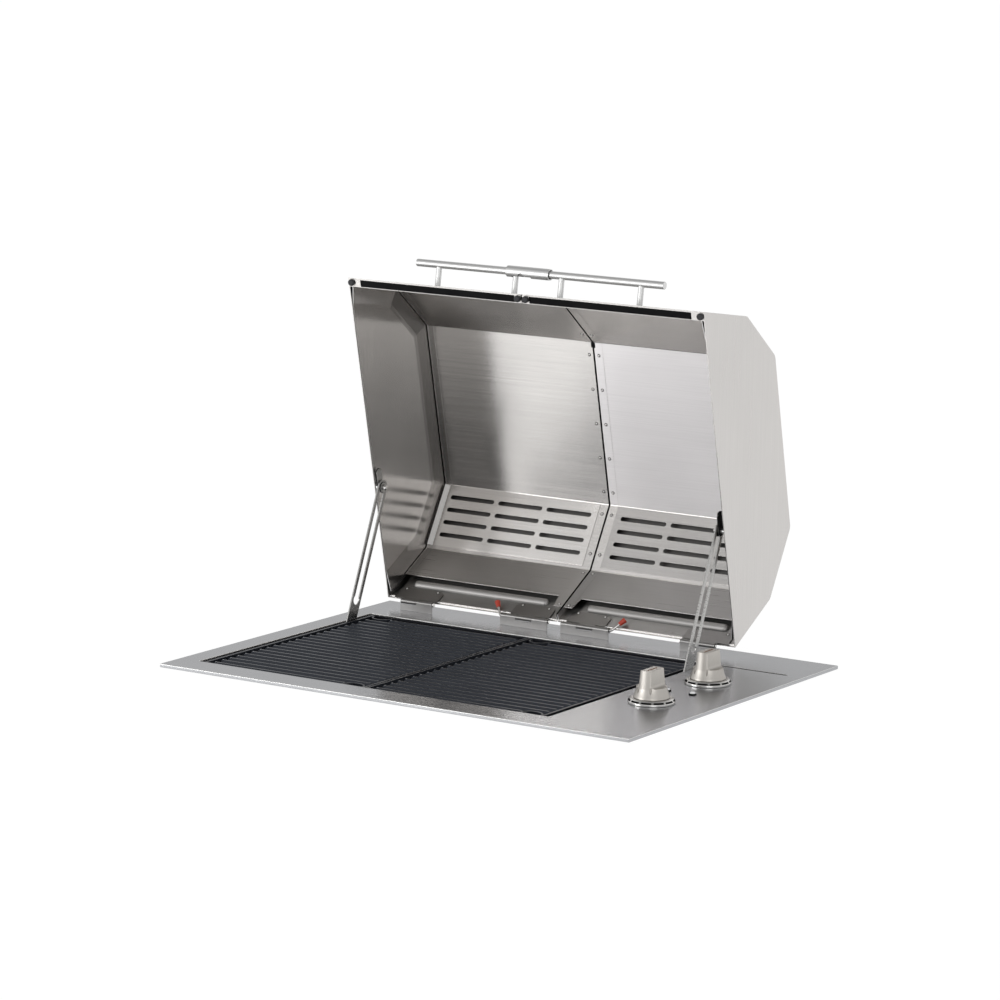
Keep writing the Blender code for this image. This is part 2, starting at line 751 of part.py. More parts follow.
def temperature_sensor(name, start, knob_y):
    """A bulb on the middle support and its capillary tube to the thermostat."""
    y, z = sensor_y(start), sensor_z()
    bulb_right = SENSOR_BULB_LEFT + SENSOR_BULB_LENGTH
    box_x = OPENING_RIGHT + ELEMENT_TAIL
    end_x = KNOB_X - THERMOSTAT_RADIUS - SENSOR_TUBE_RADIUS - GAP
    end_z = LIP_TOP - THERMOSTAT_SHEET - THERMOSTAT_HEIGHT * 2 / 3
    points = [
        (SENSOR_BULB_LEFT, y, z), (bulb_right, y, z), (bulb_right + SENSOR_BULB_RADIUS, y, z),
        (box_x, y, z), ((box_x + end_x) / 2, (y + knob_y) / 2, (z + end_z) / 2), (end_x, knob_y, end_z),
    ]
    thin = SENSOR_TUBE_RADIUS
    radii = [SENSOR_BULB_RADIUS, SENSOR_BULB_RADIUS, thin, thin, thin, thin]
    return node(tube(points, radii, SMALL_SIDES), name, "bright_steel")


def tray_runner(name, side):
    """An angle on the tub's floor that carries and guides one side of the tray."""
    low, high = tray_box()
    edge = low[0] if side < 0 else high[0]
    base, seat = TUB_FLOOR + GAP, low[2] - GAP
    guide = RUNNER_CLEARANCE + RUNNER_SHEET
    outline = [
        (edge - side * RUNNER_REACH, base), (edge + side * guide, base),
        (edge + side * guide, base + RUNNER_GUIDE), (edge + side * RUNNER_CLEARANCE, base + RUNNER_GUIDE),
        (edge + side * RUNNER_CLEARANCE, seat), (edge - side * RUNNER_REACH, seat),
    ]
    runner = prism(outline, OPENING_FRONT + GAP, high[1], "Y")
    return node(runner, name, "aluminised_steel", smooth=False)


def drip_tray():
    low, high = tray_box()
    pan = block(low, high)
    inside = block(
        (low[0] + TRAY_SHEET, low[1] + TRAY_SHEET, low[2] + TRAY_SHEET),
        (high[0] - TRAY_SHEET, high[1] - TRAY_SHEET, high[2] + OVERRUN),
    )
    border = TRAY_FRONT_BORDER
    front = block(
        (low[0] - border, low[1] - TRAY_SHEET, low[2]),
        (high[0] + border, low[1] + GAP, high[2] + border),
    )
    pull = block(
        (low[0] - border, low[1] - TRAY_PULL, high[2] + border - TRAY_SHEET),
        (high[0] + border, low[1], high[2] + border),
    )
    return node(fuse(carve(pan, inside), front, pull), "drip_tray", "bright_steel", smooth=False)


# Control side
def knob_bezel(name, y):
    """A raised ring around the knob's foot, with slots around its wall."""
    ring = turned(
        [(BEZEL_BORE, GAP), (BEZEL_RADIUS, GAP), (BEZEL_RADIUS, BEZEL_SHOULDER),
         (BEZEL_TOP_RADIUS, BEZEL_HEIGHT), (BEZEL_BORE, BEZEL_HEIGHT)],
        (KNOB_X, y, 0),
    )
    step = 2 * math.pi / BEZEL_SLOTS
    slots = []
    for i in range(BEZEL_SLOTS):
        middle = (i + 0.5) * step + BEZEL_TURN
        outline = []
        for radius, way in ((BEZEL_SLOT_INNER, 1), (BEZEL_RADIUS + OVERRUN, -1)):
            half = way * (step / 2 - BEZEL_TICK / 2 / radius)
            for share in (-1, 0, 1):
                turn = middle + share * half
                outline.append((KNOB_X + radius * math.cos(turn), y + radius * math.sin(turn)))
        slots.append(prism(outline, BEZEL_SLOT_LOW, BEZEL_SLOT_HIGH, "Z"))
    return node(carve(ring, group(*slots)), name, "bright_steel")


def knob(name, carrier):
    """Drawn around its own axis, with the grip blade along Y."""
    low = KNOB_LIFT
    top = low + KNOB_HEIGHT
    ledge = low + KNOB_LEDGE_HEIGHT
    outside = KNOB_BASE_RADIUS + OVERRUN
    body = turned([
        (0, low), (KNOB_BASE_RADIUS, low), (KNOB_LEDGE_RADIUS, ledge),
        (KNOB_TOP_RADIUS, top - KNOB_EDGE), (KNOB_TOP_RADIUS - KNOB_EDGE, top), (0, top),
    ])
    flanks = []
    for side in (-1, 1):
        fillet = [
            (side * (BLADE_FOOT_WIDTH / 2 + BLADE_FILLET * (1 - math.cos(turn))),
             ledge + BLADE_FILLET * (1 - math.sin(turn)))
            for turn in (math.pi / 2 * i / 4 for i in range(5))
        ]
        outline = [(side * BLADE_TOP_WIDTH / 2, top + OVERRUN)] + fillet
        outline += [(side * outside, ledge), (side * outside, top + OVERRUN)]
        flanks.append(prism(outline, -outside, outside, "Y"))
    pointer = block(
        (-POINTER_WIDTH / 2, -POINTER_LENGTH / 2, top - POINTER_DEPTH),
        (POINTER_WIDTH / 2, POINTER_LENGTH / 2, top + OVERRUN),
    )
    bore_top = SHAFT_HEIGHT + SHAFT_CLEARANCE * 2
    shaft_bore = rod((0, 0, low - OVERRUN), (0, 0, bore_top), SHAFT_RADIUS + SHAFT_CLEARANCE)
    return node(carve(body, group(*flanks), group(pointer, shaft_bore)), name, "satin_nickel", carrier)


def thermostat(name, y):
    plate_top = LIP_TOP
    plate_low = plate_top - THERMOSTAT_SHEET
    half = THERMOSTAT_PLATE / 2
    reach = THERMOSTAT_RADIUS + THERMOSTAT_SHEET
    plate = block((KNOB_X - half, y - reach, plate_low), (KNOB_X + half, y + reach, plate_top))
    body = turned([
        (0, plate_low - THERMOSTAT_HEIGHT), (THERMOSTAT_RADIUS, plate_low - THERMOSTAT_HEIGHT),
        (THERMOSTAT_RADIUS, plate_low + GAP), (BUSH_RADIUS, plate_low + GAP), (BUSH_RADIUS, -GAP),
        (SHAFT_RADIUS, -GAP), (SHAFT_RADIUS, SHAFT_HEIGHT), (0, SHAFT_HEIGHT),
    ], (KNOB_X, y, 0), sides=ROUND_SIDES)
    return node(fuse(plate, body), name, "aluminised_steel")


def indicator_lamp(name, x):
    y = lamp_y()
    steps = 4
    dome = [
        (LAMP_RADIUS * math.cos(math.pi / 2 * i / steps), GAP + LAMP_DOME * math.sin(math.pi / 2 * i / steps))
        for i in range(steps)
    ]
    nut_top = LIP_TOP
    stem = LAMP_STEM_RADIUS
    profile = [
        (0, -LAMP_STEM), (stem, -LAMP_STEM), (stem, nut_top - LAMP_NUT), (LAMP_NUT_RADIUS, nut_top - LAMP_NUT),
        (LAMP_NUT_RADIUS, nut_top), (stem, nut_top), (stem, GAP),
    ] + dome + [(0, GAP + LAMP_DOME)]
    return node(turned(profile, (x, y, 0), sides=ROUND_SIDES), name, "bright_steel")


def control_box():
    low = BOX_TOP - BOX_HEIGHT
    sheet, lip = BOX_SHEET, BOX_LIP
    shell = block((BOX_LEFT, BOX_FRONT, low), (BOX_RIGHT, BOX_REAR, BOX_TOP))
    inside = block(
        (BOX_LEFT + sheet, BOX_FRONT + sheet, low - OVERRUN),
        (BOX_RIGHT - sheet, BOX_REAR - sheet, BOX_TOP - sheet),
    )
    mouth = block(
        (BOX_LEFT + lip, BOX_FRONT + lip, BOX_TOP - sheet - OVERRUN),
        (BOX_RIGHT - lip, BOX_REAR - lip, OVERRUN),
    )
    behind, ahead = BOX_REAR + OVERRUN, BOX_REAR - OVERRUN
    holes = [rod((KNOB_X, ahead, -GLAND_DROP), (KNOB_X, behind, -GLAND_DROP), GLAND_HOLE)]
    holes += wall_holes(BOX_LEFT - OVERRUN, BOX_LEFT + sheet + OVERRUN)
    return node(carve(shell, inside, mouth, group(*holes)), "control_box", "aluminised_steel")


def wall_holes(start, end):
    """Holes for the elements' ends and the sensors' tubes through an upright wall."""
    holes = []
    for place in (ELEMENT_FRONT_START, ELEMENT_REAR_START):
        legs = element_ys(place)
        for y in (legs[0], legs[-1]):
            holes.append(rod((start, y, -ELEMENT_DROP), (end, y, -ELEMENT_DROP), ELEMENT_HOLE))
        y = sensor_y(place)
        holes.append(rod((start, y, sensor_z()), (end, y, sensor_z()), SENSOR_HOLE, SMALL_SIDES))
    return holes


def control_box_cover():
    """A plate that closes the box from below, with its screws' heads."""
    top = BOX_TOP - BOX_HEIGHT - GAP
    cover = block((BOX_LEFT, BOX_FRONT, top - BOX_SHEET), (BOX_RIGHT, BOX_REAR, top))
    head_low = top - BOX_SHEET - COVER_SCREW_HEAD
    for x in (BOX_LEFT + COVER_SCREW_INSET, BOX_RIGHT - COVER_SCREW_INSET):
        for y in (BOX_FRONT + COVER_SCREW_INSET, BOX_REAR - COVER_SCREW_INSET):
            fuse(cover, rod((x, y, head_low), (x, y, top - BOX_SHEET / 2), COVER_SCREW_RADIUS, SMALL_SIDES))
    return node(cover, "control_box_cover", "aluminised_steel")


def terminal_block():
    right = BOX_RIGHT - BOX_SHEET - GAP
    top = BOX_TOP - BOX_HEIGHT / 3
    middle = BOX_FRONT + (BOX_REAR - BOX_FRONT) * 3 / 4
    first = middle - BLOCK_LENGTH / 2
    body = block((right - BLOCK_WIDTH, first, top - BLOCK_HEIGHT), (right, first + BLOCK_LENGTH, top))
    pitch = BLOCK_LENGTH / BLOCK_WAYS
    ways = [
        block(
            (right - BLOCK_WIDTH - OVERRUN, first + i * pitch + BLOCK_WALL / 2, top - BLOCK_HEIGHT / 2),
            (right - BLOCK_WIDTH / 2, first + (i + 1) * pitch - BLOCK_WALL / 2, top + OVERRUN),
        )
        for i in range(BLOCK_WAYS)
    ]
    return node(carve(body, group(*ways)), "terminal_block", "grey_plastic", smooth=False)


def inlet_gland():
    """The cable entry in the box's rear wall, open along Y."""
    outside = BOX_REAR
    inner = outside - BOX_SHEET
    profile = [
        (GLAND_BORE, inner - GLAND_LOCKNUT), (GLAND_HEX_RADIUS, inner - GLAND_LOCKNUT),
        (GLAND_HEX_RADIUS, inner - GAP), (GLAND_THREAD_RADIUS, inner - GAP),
        (GLAND_THREAD_RADIUS, outside + GAP), (GLAND_HEX_RADIUS, outside + GAP),
        (GLAND_HEX_RADIUS, outside + GLAND_HEX),
        (GLAND_CAP_RADIUS, outside + GLAND_HEX), (GLAND_CAP_RADIUS, outside + GLAND_HEX + GLAND_CAP * 2 / 3),
        (GLAND_THREAD_RADIUS, outside + GLAND_HEX + GLAND_CAP), (GLAND_BORE, outside + GLAND_HEX + GLAND_CAP),
    ]
    return node(turned(profile, (KNOB_X, 0, -GLAND_DROP), "Y", ROUND_SIDES), "inlet_gland", "grey_plastic")


def bench_clamp(name, wall_y, way):
    """An angle bracket on the tub with a screw that presses up against the benchtop."""
    top = BOX_TOP - CLAMP_DROP
    low = top - CLAMP_HEIGHT
    x = OPENING_LEFT + CLAMP_SHARE * OPENING_WIDTH
    near = wall_y + way * GAP
    far = near + way * CLAMP_REACH
    inner = near + way * CLAMP_SHEET
    outline = [
        (near, top), (near, low), (far, low),
        (far, low + CLAMP_SHEET), (inner, low + CLAMP_SHEET), (inner, top),
    ]
    bracket = prism(outline, x - CLAMP_WIDTH / 2, x + CLAMP_WIDTH / 2)
    head, rise = low - CLAMP_SCREW_HEAD, low + CLAMP_SCREW_RISE
    screw = turned([
        (0, head), (CLAMP_PAD_RADIUS, head), (CLAMP_PAD_RADIUS, low - GAP), (CLAMP_SCREW_RADIUS, low - GAP),
        (CLAMP_SCREW_RADIUS, rise), (CLAMP_PAD_RADIUS, rise), (CLAMP_PAD_RADIUS, rise + CLAMP_PAD),
        (0, rise + CLAMP_PAD),
    ], (x, near + way * CLAMP_REACH * 2 / 3, 0), sides=SMALL_SIDES)
    return node(fuse(bracket, screw), name, "bright_steel")


# Hood halves, drawn closed around the hinge axis with X from the seam outwards
def offset_corner(first, corner, last, inset):
    """Where the two walls that meet at a corner cross when both are moved inwards."""
    ways = [(corner - first).normalized(), (last - corner).normalized()]
    inward = [Vector((way.y, -way.x)) for way in ways]
    half = (inward[0] + inward[1]).normalized()
    return corner + half * (inset / half.dot(inward[0]))


def lid_outline(inset, floor=0.0):
    """The hood's outline moved inwards, from the rear rim over the crown to the front rim."""
    corners = [Vector(corner) for corner in LID_CORNERS]
    points = [offset_corner(*corners[i - 1:i + 2], inset) for i in range(1, len(corners) - 1)]
    ends = []
    for wall, near in ((0, points[0]), (len(corners) - 2, points[-1])):
        way = corners[wall + 1] - corners[wall]
        ends.append(near + way * ((floor - near.y) / way.y))
    return [to_lid(*point) for point in (ends[0], *points, ends[1])]


def to_lid(forward, up):
    """From the rear rim's forward and up to Y and Z around the hinge axis."""
    return (HINGE_AHEAD_OF_RIM - forward, HINGE_BELOW_RIM + up)


def wall_matrix(wall, depth):
    """Carries X, distance along a wall from its rear corner and depth inside it to the hood."""
    start, end = (Vector((0, *to_lid(*LID_CORNERS[i]))) for i in (wall, wall + 1))
    along = (end - start).normalized()
    inward = Vector((0, -along.z, along.y))
    origin = start + inward * depth
    return Matrix((
        (1, 0, 0, 0), (0, along.y, inward.y, origin.y), (0, along.z, inward.z, origin.z), (0, 0, 0, 1),
    ))


def wall_length(wall):
    return (Vector(LID_CORNERS[wall + 1]) - Vector(LID_CORNERS[wall])).length


def lid_shell():
    body = prism(lid_outline(0), SEAM_HALF_GAP, LID_SPAN)
    inside = prism(lid_outline(SKIN, SKIN), -OVERRUN, LID_SPAN - SKIN)
    rear_y, front_y = lid_outline(SKIN)[0][0], to_lid(LID_DEPTH, 0)[0] + front_return()
    under, over = HINGE_BELOW_RIM - OVERRUN, HINGE_BELOW_RIM + SKIN + OVERRUN
    mouth = block((-OVERRUN, front_y, under), (LID_SPAN - SIDE_INSET, rear_y, over))
    slots = [prism(seal_outline(0), under, over, "Z")]
    for x in bumper_places():
        slots.append(rod((x, seal_y(), under), (x, seal_y(), over), BUMPER_STEM_RADIUS + GAP))
    return carve(body, inside, mouth, group(*slots))


def front_return():
    """How far the rim folds back under the front wall, up to the liner's face."""
    return LINER_INSET + LINER_SHEET


def seal_y():
    return to_lid(LID_DEPTH - SEAL_CENTRE_INSET, 0)[0]


def bumper_places():
    return (SEAM_HALF_GAP + BUMPER_SIDE_INSET, LID_SPAN - BUMPER_SIDE_INSET)


def seal_outline(shrink):
    near, far = SEAM_HALF_GAP + SEAL_SEAM_MARGIN, LID_SPAN - SEAL_SIDE_MARGIN
    return stadium(far - near - 2 * shrink, SEAL_WIDTH - 2 * shrink, ((near + far) / 2, seal_y()))


def front_seal():
    """One rubber moulding: the strip in the front rim's slot and a bumper at each end."""
    rim = HINGE_BELOW_RIM
    back_low, back_high = rim + SKIN + GAP, rim + SKIN + GAP + SEAL_BACKING
    near, far = bumper_places()
    length = far - near + 2 * BUMPER_STEM_RADIUS
    back = prism(stadium(length, SEAL_WIDTH - 2 * GAP, ((near + far) / 2, seal_y())), back_low, back_high, "Z")
    fuse(back, prism(seal_outline(GAP), rim + SKIN / 3, (back_low + back_high) / 2, "Z"))
    top = rim - GAP
    for x in (near, far):
        fuse(back, turned([
            (0, top - BUMPER_HEIGHT), (BUMPER_RADIUS * 3 / 4, top - BUMPER_HEIGHT),
            (BUMPER_RADIUS, top - BUMPER_HEIGHT * 2 / 3), (BUMPER_RADIUS, top), (BUMPER_STEM_RADIUS, top),
            (BUMPER_STEM_RADIUS, (back_low + back_high) / 2), (0, (back_low + back_high) / 2),
        ], (x, seal_y(), 0), sides=ROUND_SIDES))
    return back


def lid_liner():
    face_x = LID_SPAN - SIDE_INSET
    floor = SKIN + GAP
    near = SEAM_HALF_GAP + CHANNEL_SHEET + GAP
    body = prism(lid_outline(LINER_INSET - LINER_SHEET, floor), near, face_x + LINER_SHEET)
    inside = prism(lid_outline(LINER_INSET, -OVERRUN), -OVERRUN, face_x)
    edge, tab_end = (to_lid(0, up)[1] for up in (LINER_REAR_EDGE, LINER_TAB_END))
    low = to_lid(0, 0)[1] - OVERRUN
    tab = SEAM_HALF_GAP + LINER_TAB
    rear_cut = prism(
        [(-OVERRUN, low), (-OVERRUN, tab_end), (tab, tab_end),
         (tab + LINER_TAB_SLANT, edge), (face_x - GAP, edge), (face_x - GAP, low)],
        *rear_wall_reach(), "Y",
    )
    border = VENT_WINDOW_BORDER
    far, high = LID_SPAN - VENT_SIDE_MARGIN, wall_length(REAR_SHOULDER) - VENT_BORDER_HIGH
    window = block(
        (SEAM_HALF_GAP + CHANNEL_WIDTH + border, VENT_BORDER_LOW + border, -LINER_INSET / 2),
        (far - border, high - border, LINER_INSET / 2),
    )
    moved(window, wall_matrix(REAR_SHOULDER, LINER_INSET))
    return fuse(carve(body, inside, rear_cut, window), stay_stud())


def rear_wall_reach():
    """Y from inside the hood to behind its rear wall, for cuts through that wall alone."""
    return to_lid(REAR_SHOULDER_INSET / 2, 0)[0], to_lid(-LINER_INSET, 0)[0]


def vent_panel():
    """The slotted panel that lies on the liner's rear shoulder."""
    near = SEAM_HALF_GAP + CHANNEL_WIDTH + GAP
    high = wall_length(REAR_SHOULDER) - VENT_BORDER_HIGH
    panel = block((near, VENT_BORDER_LOW, GAP), (LID_SPAN - VENT_SIDE_MARGIN, high, GAP + VENT_SHEET))
    slots = []
    for column in range(VENT_COLUMNS):
        x = VENT_FIRST_COLUMN + column * VENT_COLUMN_PITCH + VENT_SLOT_LENGTH / 2
        for row in range(VENT_ROWS):
            place = (x, VENT_FIRST_ROW + row * VENT_ROW_PITCH)
            outline = stadium(VENT_SLOT_LENGTH, VENT_SLOT_HEIGHT, place, SMALL_SIDES // 2)
            slots.append(prism(outline, -OVERRUN, GAP + VENT_SHEET + OVERRUN, "Z"))
    return moved(carve(panel, group(*slots)), wall_matrix(REAR_SHOULDER, LINER_INSET))


def ring_outline(outer, inner, floor):
    return lid_outline(outer, floor) + lid_outline(inner, floor)[::-1]


def seam_channel():
    """Closes the double skin along the seam, laps onto the liner and is riveted to it."""
    floor = SKIN + GAP
    lap = LINER_INSET + GAP
    web_far = SEAM_HALF_GAP + CHANNEL_SHEET
    web = prism(ring_outline(SKIN + GAP, lap + CHANNEL_SHEET, floor), SEAM_HALF_GAP, web_far)
    flange = prism(ring_outline(lap, lap + CHANNEL_SHEET, floor), web_far - GAP, SEAM_HALF_GAP + CHANNEL_WIDTH)
    start, end = rear_wall_reach()
    low, tab_end = (to_lid(0, up)[1] for up in (-OVERRUN, LINER_TAB_END))
    below_tab = block((web_far, start, low), (web_far + CHANNEL_WIDTH, end, tab_end))
    channel = fuse(web, carve(flange, below_tab))
    x, face = SEAM_HALF_GAP + RIVET_SEAM_INSET, lap + CHANNEL_SHEET
    pitch = (wall_length(CROWN) - 2 * CROWN_RIVET_MARGIN) / (CROWN_RIVETS - 1)
    crown = [CROWN_RIVET_MARGIN + i * pitch for i in range(CROWN_RIVETS)]
    for wall, places in ((REAR_WALL, REAR_WALL_RIVETS), (REAR_SHOULDER, REAR_SHOULDER_RIVETS), (CROWN, crown),
                         (FRONT_SHOULDER, FRONT_SHOULDER_RIVETS)):
        for along in places:
            fuse(channel, rivet(x, along, wall, face))
    return channel


def rivet(x, along, wall, face):
    """A low domed head that stands on a face at a depth inside a wall."""
    head = turned([
        (0, -GAP), (RIVET_RADIUS, -GAP), (RIVET_RADIUS, RIVET_HEIGHT / 2),
        (RIVET_RADIUS / 2, RIVET_HEIGHT), (0, RIVET_HEIGHT),
    ], (x, along, 0), sides=SMALL_SIDES)
    return moved(head, wall_matrix(wall, face))


def stiffener_bead():
    """A rolled bead along the rear wall, just under the liner's edge."""
    near, far = BEAD_SEAM_MARGIN, LID_SPAN - BEAD_SIDE_MARGIN
    arch = [
        (BEAD_CENTRE + BEAD_RADIUS * math.cos(math.pi * i / SMALL_SIDES),
         GAP + BEAD_HEIGHT * math.sin(math.pi * i / SMALL_SIDES))
        for i in range(SMALL_SIDES + 1)
    ]
    return moved(prism(arch, near, far), wall_matrix(REAR_WALL, SKIN))


def knuckle(near, far):
    return rod((near + KNUCKLE_GAP / 2, 0, 0), (far - KNUCKLE_GAP / 2, 0, 0), KNUCKLE_RADIUS)


def bore(near, far):
    return rod((near - OVERRUN, 0, 0), (far + OVERRUN, 0, 0), KNUCKLE_BORE)


def hinges():
    """Each hinge's name, start, knuckle pitch, owners from the seam outwards and hood leaf's ends."""
    inner, outer = INNER_HINGE_LENGTH / 3, OUTER_HINGE_LENGTH / 2
    return (
        ("inner", INNER_HINGE_NEAR, inner, (False, True, False), INNER_LEAF_NEAR, INNER_LEAF_FAR),
        ("outer", OUTER_HINGE_NEAR, outer, (False, True), OUTER_LEAF_NEAR, OUTER_LEAF_FAR),
    )


def hood_leaf(near, pitch, owners, leaf_near, leaf_far):
    """The leaf on the inside of the rear wall, its rivets and its knuckle."""
    start = near + owners.index(True) * pitch
    end = start + pitch
    leaf = block((leaf_near, LID_LEAF_LOW, GAP), (leaf_far, LID_LEAF_HIGH, GAP + LEAF_SHEET))
    moved(leaf, wall_matrix(REAR_WALL, SKIN))
    half = LEAF_SHEET / 2
    foot = wall_matrix(REAR_WALL, SKIN) @ Vector((0, LID_LEAF_LOW, GAP + half))
    neck = prism(
        [(foot.y - half, KNUCKLE_RADIUS / 2), (foot.y + half, KNUCKLE_RADIUS / 2),
         (foot.y + half, foot.z + half), (foot.y - half, foot.z + half)],
        start + KNUCKLE_GAP / 2, end - KNUCKLE_GAP / 2,
    )
    carve(fuse(leaf, neck, knuckle(start, end)), bore(start, end))
    for x in (leaf_near + LID_LEAF_RIVET_INSET, leaf_far - LID_LEAF_RIVET_INSET):
        fuse(leaf, rivet(x, LID_LEAF_RIVET, REAR_WALL, SKIN + GAP + LEAF_SHEET))
    return leaf


def handle_matrix():
    """Carries X, distance along the front wall and distance outside it to the hood."""
    return wall_matrix(FRONT_WALL, 0)


def handle_along():
    return wall_length(FRONT_WALL) - HANDLE_FROM_RIM


def lid_handle():
    along = handle_along()
    bar = rod((BAR_START, along, -HANDLE_STANDOFF), (BAR_END, along, -HANDLE_STANDOFF), BAR_RADIUS)
    posts = [rod((x, along, -HANDLE_STANDOFF), (x, along, -GAP), POST_RADIUS) for x in (POST_NEAR, POST_FAR)]
    return moved(fuse(bar, *posts), handle_matrix())


def coupling_sleeve():
    """A tube over both bars, slotted along its wall side so that it can slide past a post."""
    along = handle_along()
    axis = -HANDLE_STANDOFF
    sleeve = rod((-SLEEVE_PAST_SEAM, along, axis), (SLEEVE_REACH, along, axis), SLEEVE_RADIUS, FINE_SIDES)
    hollow = rod((-SLEEVE_PAST_SEAM - OVERRUN, along, axis), (SLEEVE_REACH + OVERRUN, along, axis),
                 SLEEVE_BORE, FINE_SIDES)
    width = POST_RADIUS + SLEEVE_SLOT_CLEARANCE
    slot_far = POST_NEAR + width
    slot_near = POST_NEAR - width - SLEEVE_TRAVEL
    slot = block((slot_near, along - width, axis), (slot_far, along + width, axis + SLEEVE_RADIUS + OVERRUN))
    notch = rod((NOTCH_PLACE, along, axis), (NOTCH_PLACE, along + SLEEVE_RADIUS + OVERRUN, axis), NOTCH_RADIUS)
    return moved(carve(sleeve, hollow, slot, notch), handle_matrix())


def release_pin():
    """The inner hinge's pin, drawn out by a lever with a coloured tip."""
    far = INNER_HINGE_NEAR + INNER_HINGE_LENGTH
    pin = rod((INNER_HINGE_NEAR - PIN_HEAD, 0, 0), (far + LEVER_START, 0, 0), PIN_RADIUS)
    elbow = Vector((far + LEVER_START - PIN_RADIUS / 2, 0, 0))
    way = Vector((LEVER_OUT, *lever_way()))
    tip = elbow + way
    tip_start = tip - way.normalized() * LEVER_TIP_LENGTH
    lever = rod(elbow, tip_start + way.normalized() * LEVER_RADIUS, LEVER_RADIUS, SMALL_SIDES)
    cap = rod(tip_start, tip, LEVER_RADIUS * 3 / 2, SMALL_SIDES, LEVER_TIP_RADIUS)
    return fuse(pin, lever, cap)


def lever_way():
    """The lever's rise and lean at rest, turned back into the closed hood's frame."""
    spin = Matrix.Rotation(RIM_OPEN_ANGLE, 3, "X")
    turned_back = spin @ Vector((0, LEVER_BACK, LEVER_RISE))
    return turned_back.y, turned_back.z


def stay_place():
    """X of the arm's outer face from the seam, just inside the opening's edge."""
    return OPENING_WIDTH / 2 - STAY_EDGE_CLEARANCE


def stay_stud():
    """A stud on the hood's side panel that the stay arm hangs on."""
    y, z = to_lid(STAY_PIN_FORWARD, STAY_PIN_RISE)
    return rod((stay_place() + GAP, y, z), (LID_SPAN - SIDE_INSET + LINER_SHEET / 2, y, z), STAY_STUD_RADIUS)


def hood_half(side, hand):
    """All the pieces of one half. Side is -1 for the left half and 1 for the right one."""
    carrier = axis_empty("hood_axis_" + hand, (SEAM_X, HINGE_Y, HINGE_Z), -RIM_OPEN_ANGLE)
    flip = Matrix.Diagonal((side, 1, 1, 1))
    pieces = (
        (lid_shell, "hood_skin", "brushed_steel"),
        (lid_liner, "hood_liner", "brushed_steel"),
        (vent_panel, "vent_panel", "brushed_steel"),
        (seam_channel, "seam_channel", "brushed_steel"),
        (front_seal, "front_seal", "black_rubber"),
        (stiffener_bead, "stiffener_bead", "bright_steel"),
        (lid_handle, "handle", "brushed_steel"),
        (release_pin, "release_pin", "bright_steel"),
    )
    for build, name, finish in pieces:
        node(moved(build(), flip), name + "_" + hand, finish, carrier)
    for place, *sizes in hinges():
        node(moved(hood_leaf(*sizes), flip), "hood_leaf_" + place + "_" + hand, "brushed_steel", carrier)
    if side < 0:
        node(moved(coupling_sleeve(), flip), "coupling_sleeve", "brushed_steel", carrier)


def fixed_hinges(side, hand):
    """The standing leaves on the flange and the outer hinge's pin."""
    flip = Matrix.Translation((SEAM_X, HINGE_Y, HINGE_Z)) @ Matrix.Diagonal((side, 1, 1, 1))
    front = -KNUCKLE_RADIUS
    below = -KNUCKLE_RADIUS - KNUCKLE_GAP
    for place, near, pitch, owners, _, _ in hinges():
        leaf = block((near, front, GAP - HINGE_Z), (near + pitch * len(owners), front + LEAF_SHEET, below))
        for i, on_hood in enumerate(owners):
            if not on_hood:
                start, end = near + i * pitch, near + (i + 1) * pitch
                neck = block((start + KNUCKLE_GAP / 2, front, below - KNUCKLE_GAP),
                             (end - KNUCKLE_GAP / 2, front + LEAF_SHEET, 0))
                fuse(leaf, neck, carve(knuckle(start, end), bore(start, end)))
        node(moved(leaf, flip), "hinge_base_" + place + "_" + hand, "brushed_steel")
    far = OUTER_HINGE_NEAR + OUTER_HINGE_LENGTH
    pin = fuse(
        rod((OUTER_HINGE_NEAR - PIN_HEAD / 2, 0, 0), (far + PIN_HEAD / 2, 0, 0), PIN_RADIUS),
        rod((OUTER_HINGE_NEAR - GAP - PIN_HEAD, 0, 0), (OUTER_HINGE_NEAR - GAP, 0, 0), PIN_HEAD_RADIUS),
    )
    node(moved(pin, flip), "hinge_pin_" + hand, "bright_steel")


def stay_reach():
    """The stay's length at rest and its lean from upright, from the pivot to the hood's stud."""
    spin = Matrix.Rotation(-RIM_OPEN_ANGLE, 3, "X")
    stud = spin @ Vector((0, *to_lid(STAY_PIN_FORWARD, STAY_PIN_RISE))) + Vector((0, HINGE_Y, HINGE_Z))
    way = stud - Vector((0, STAY_PIVOT_Y, -STAY_PIVOT_DROP))
    return way.length, math.atan2(way.y, way.z)


def stay_arm():
    """A flat arm drawn upright over its pivot, with a long slot and a keyhole at its foot."""
    reach, _ = stay_reach()
    inner = stay_place() - STAY_SHEET
    tip = reach + STAY_WIDTH / 2
    foot = -STAY_WIDTH / 2
    middle = (tip + foot) / 2
    lying = stadium(tip - foot, STAY_WIDTH, (middle, 0), SMALL_SIDES)
    arm = prism([(b, a) for a, b in lying], inner, inner + STAY_SHEET)
    start, end = STAY_KEYHOLE_PLACE, reach + STAY_SLOT / 2
    slot = stadium(end - start, STAY_SLOT, ((start + end) / 2, 0), SMALL_SIDES // 2)
    near, far = inner - OVERRUN, inner + STAY_SHEET + OVERRUN
    keyhole = rod((near, 0, STAY_KEYHOLE_PLACE), (far, 0, STAY_KEYHOLE_PLACE), STAY_KEYHOLE_RADIUS)
    pivot_hole = rod((near, 0, 0), (far, 0, 0), STAY_PIVOT_RADIUS + STAY_PIVOT_CLEARANCE)
    return carve(arm, prism([(b, a) for a, b in slot], near, far), keyhole, pivot_hole)


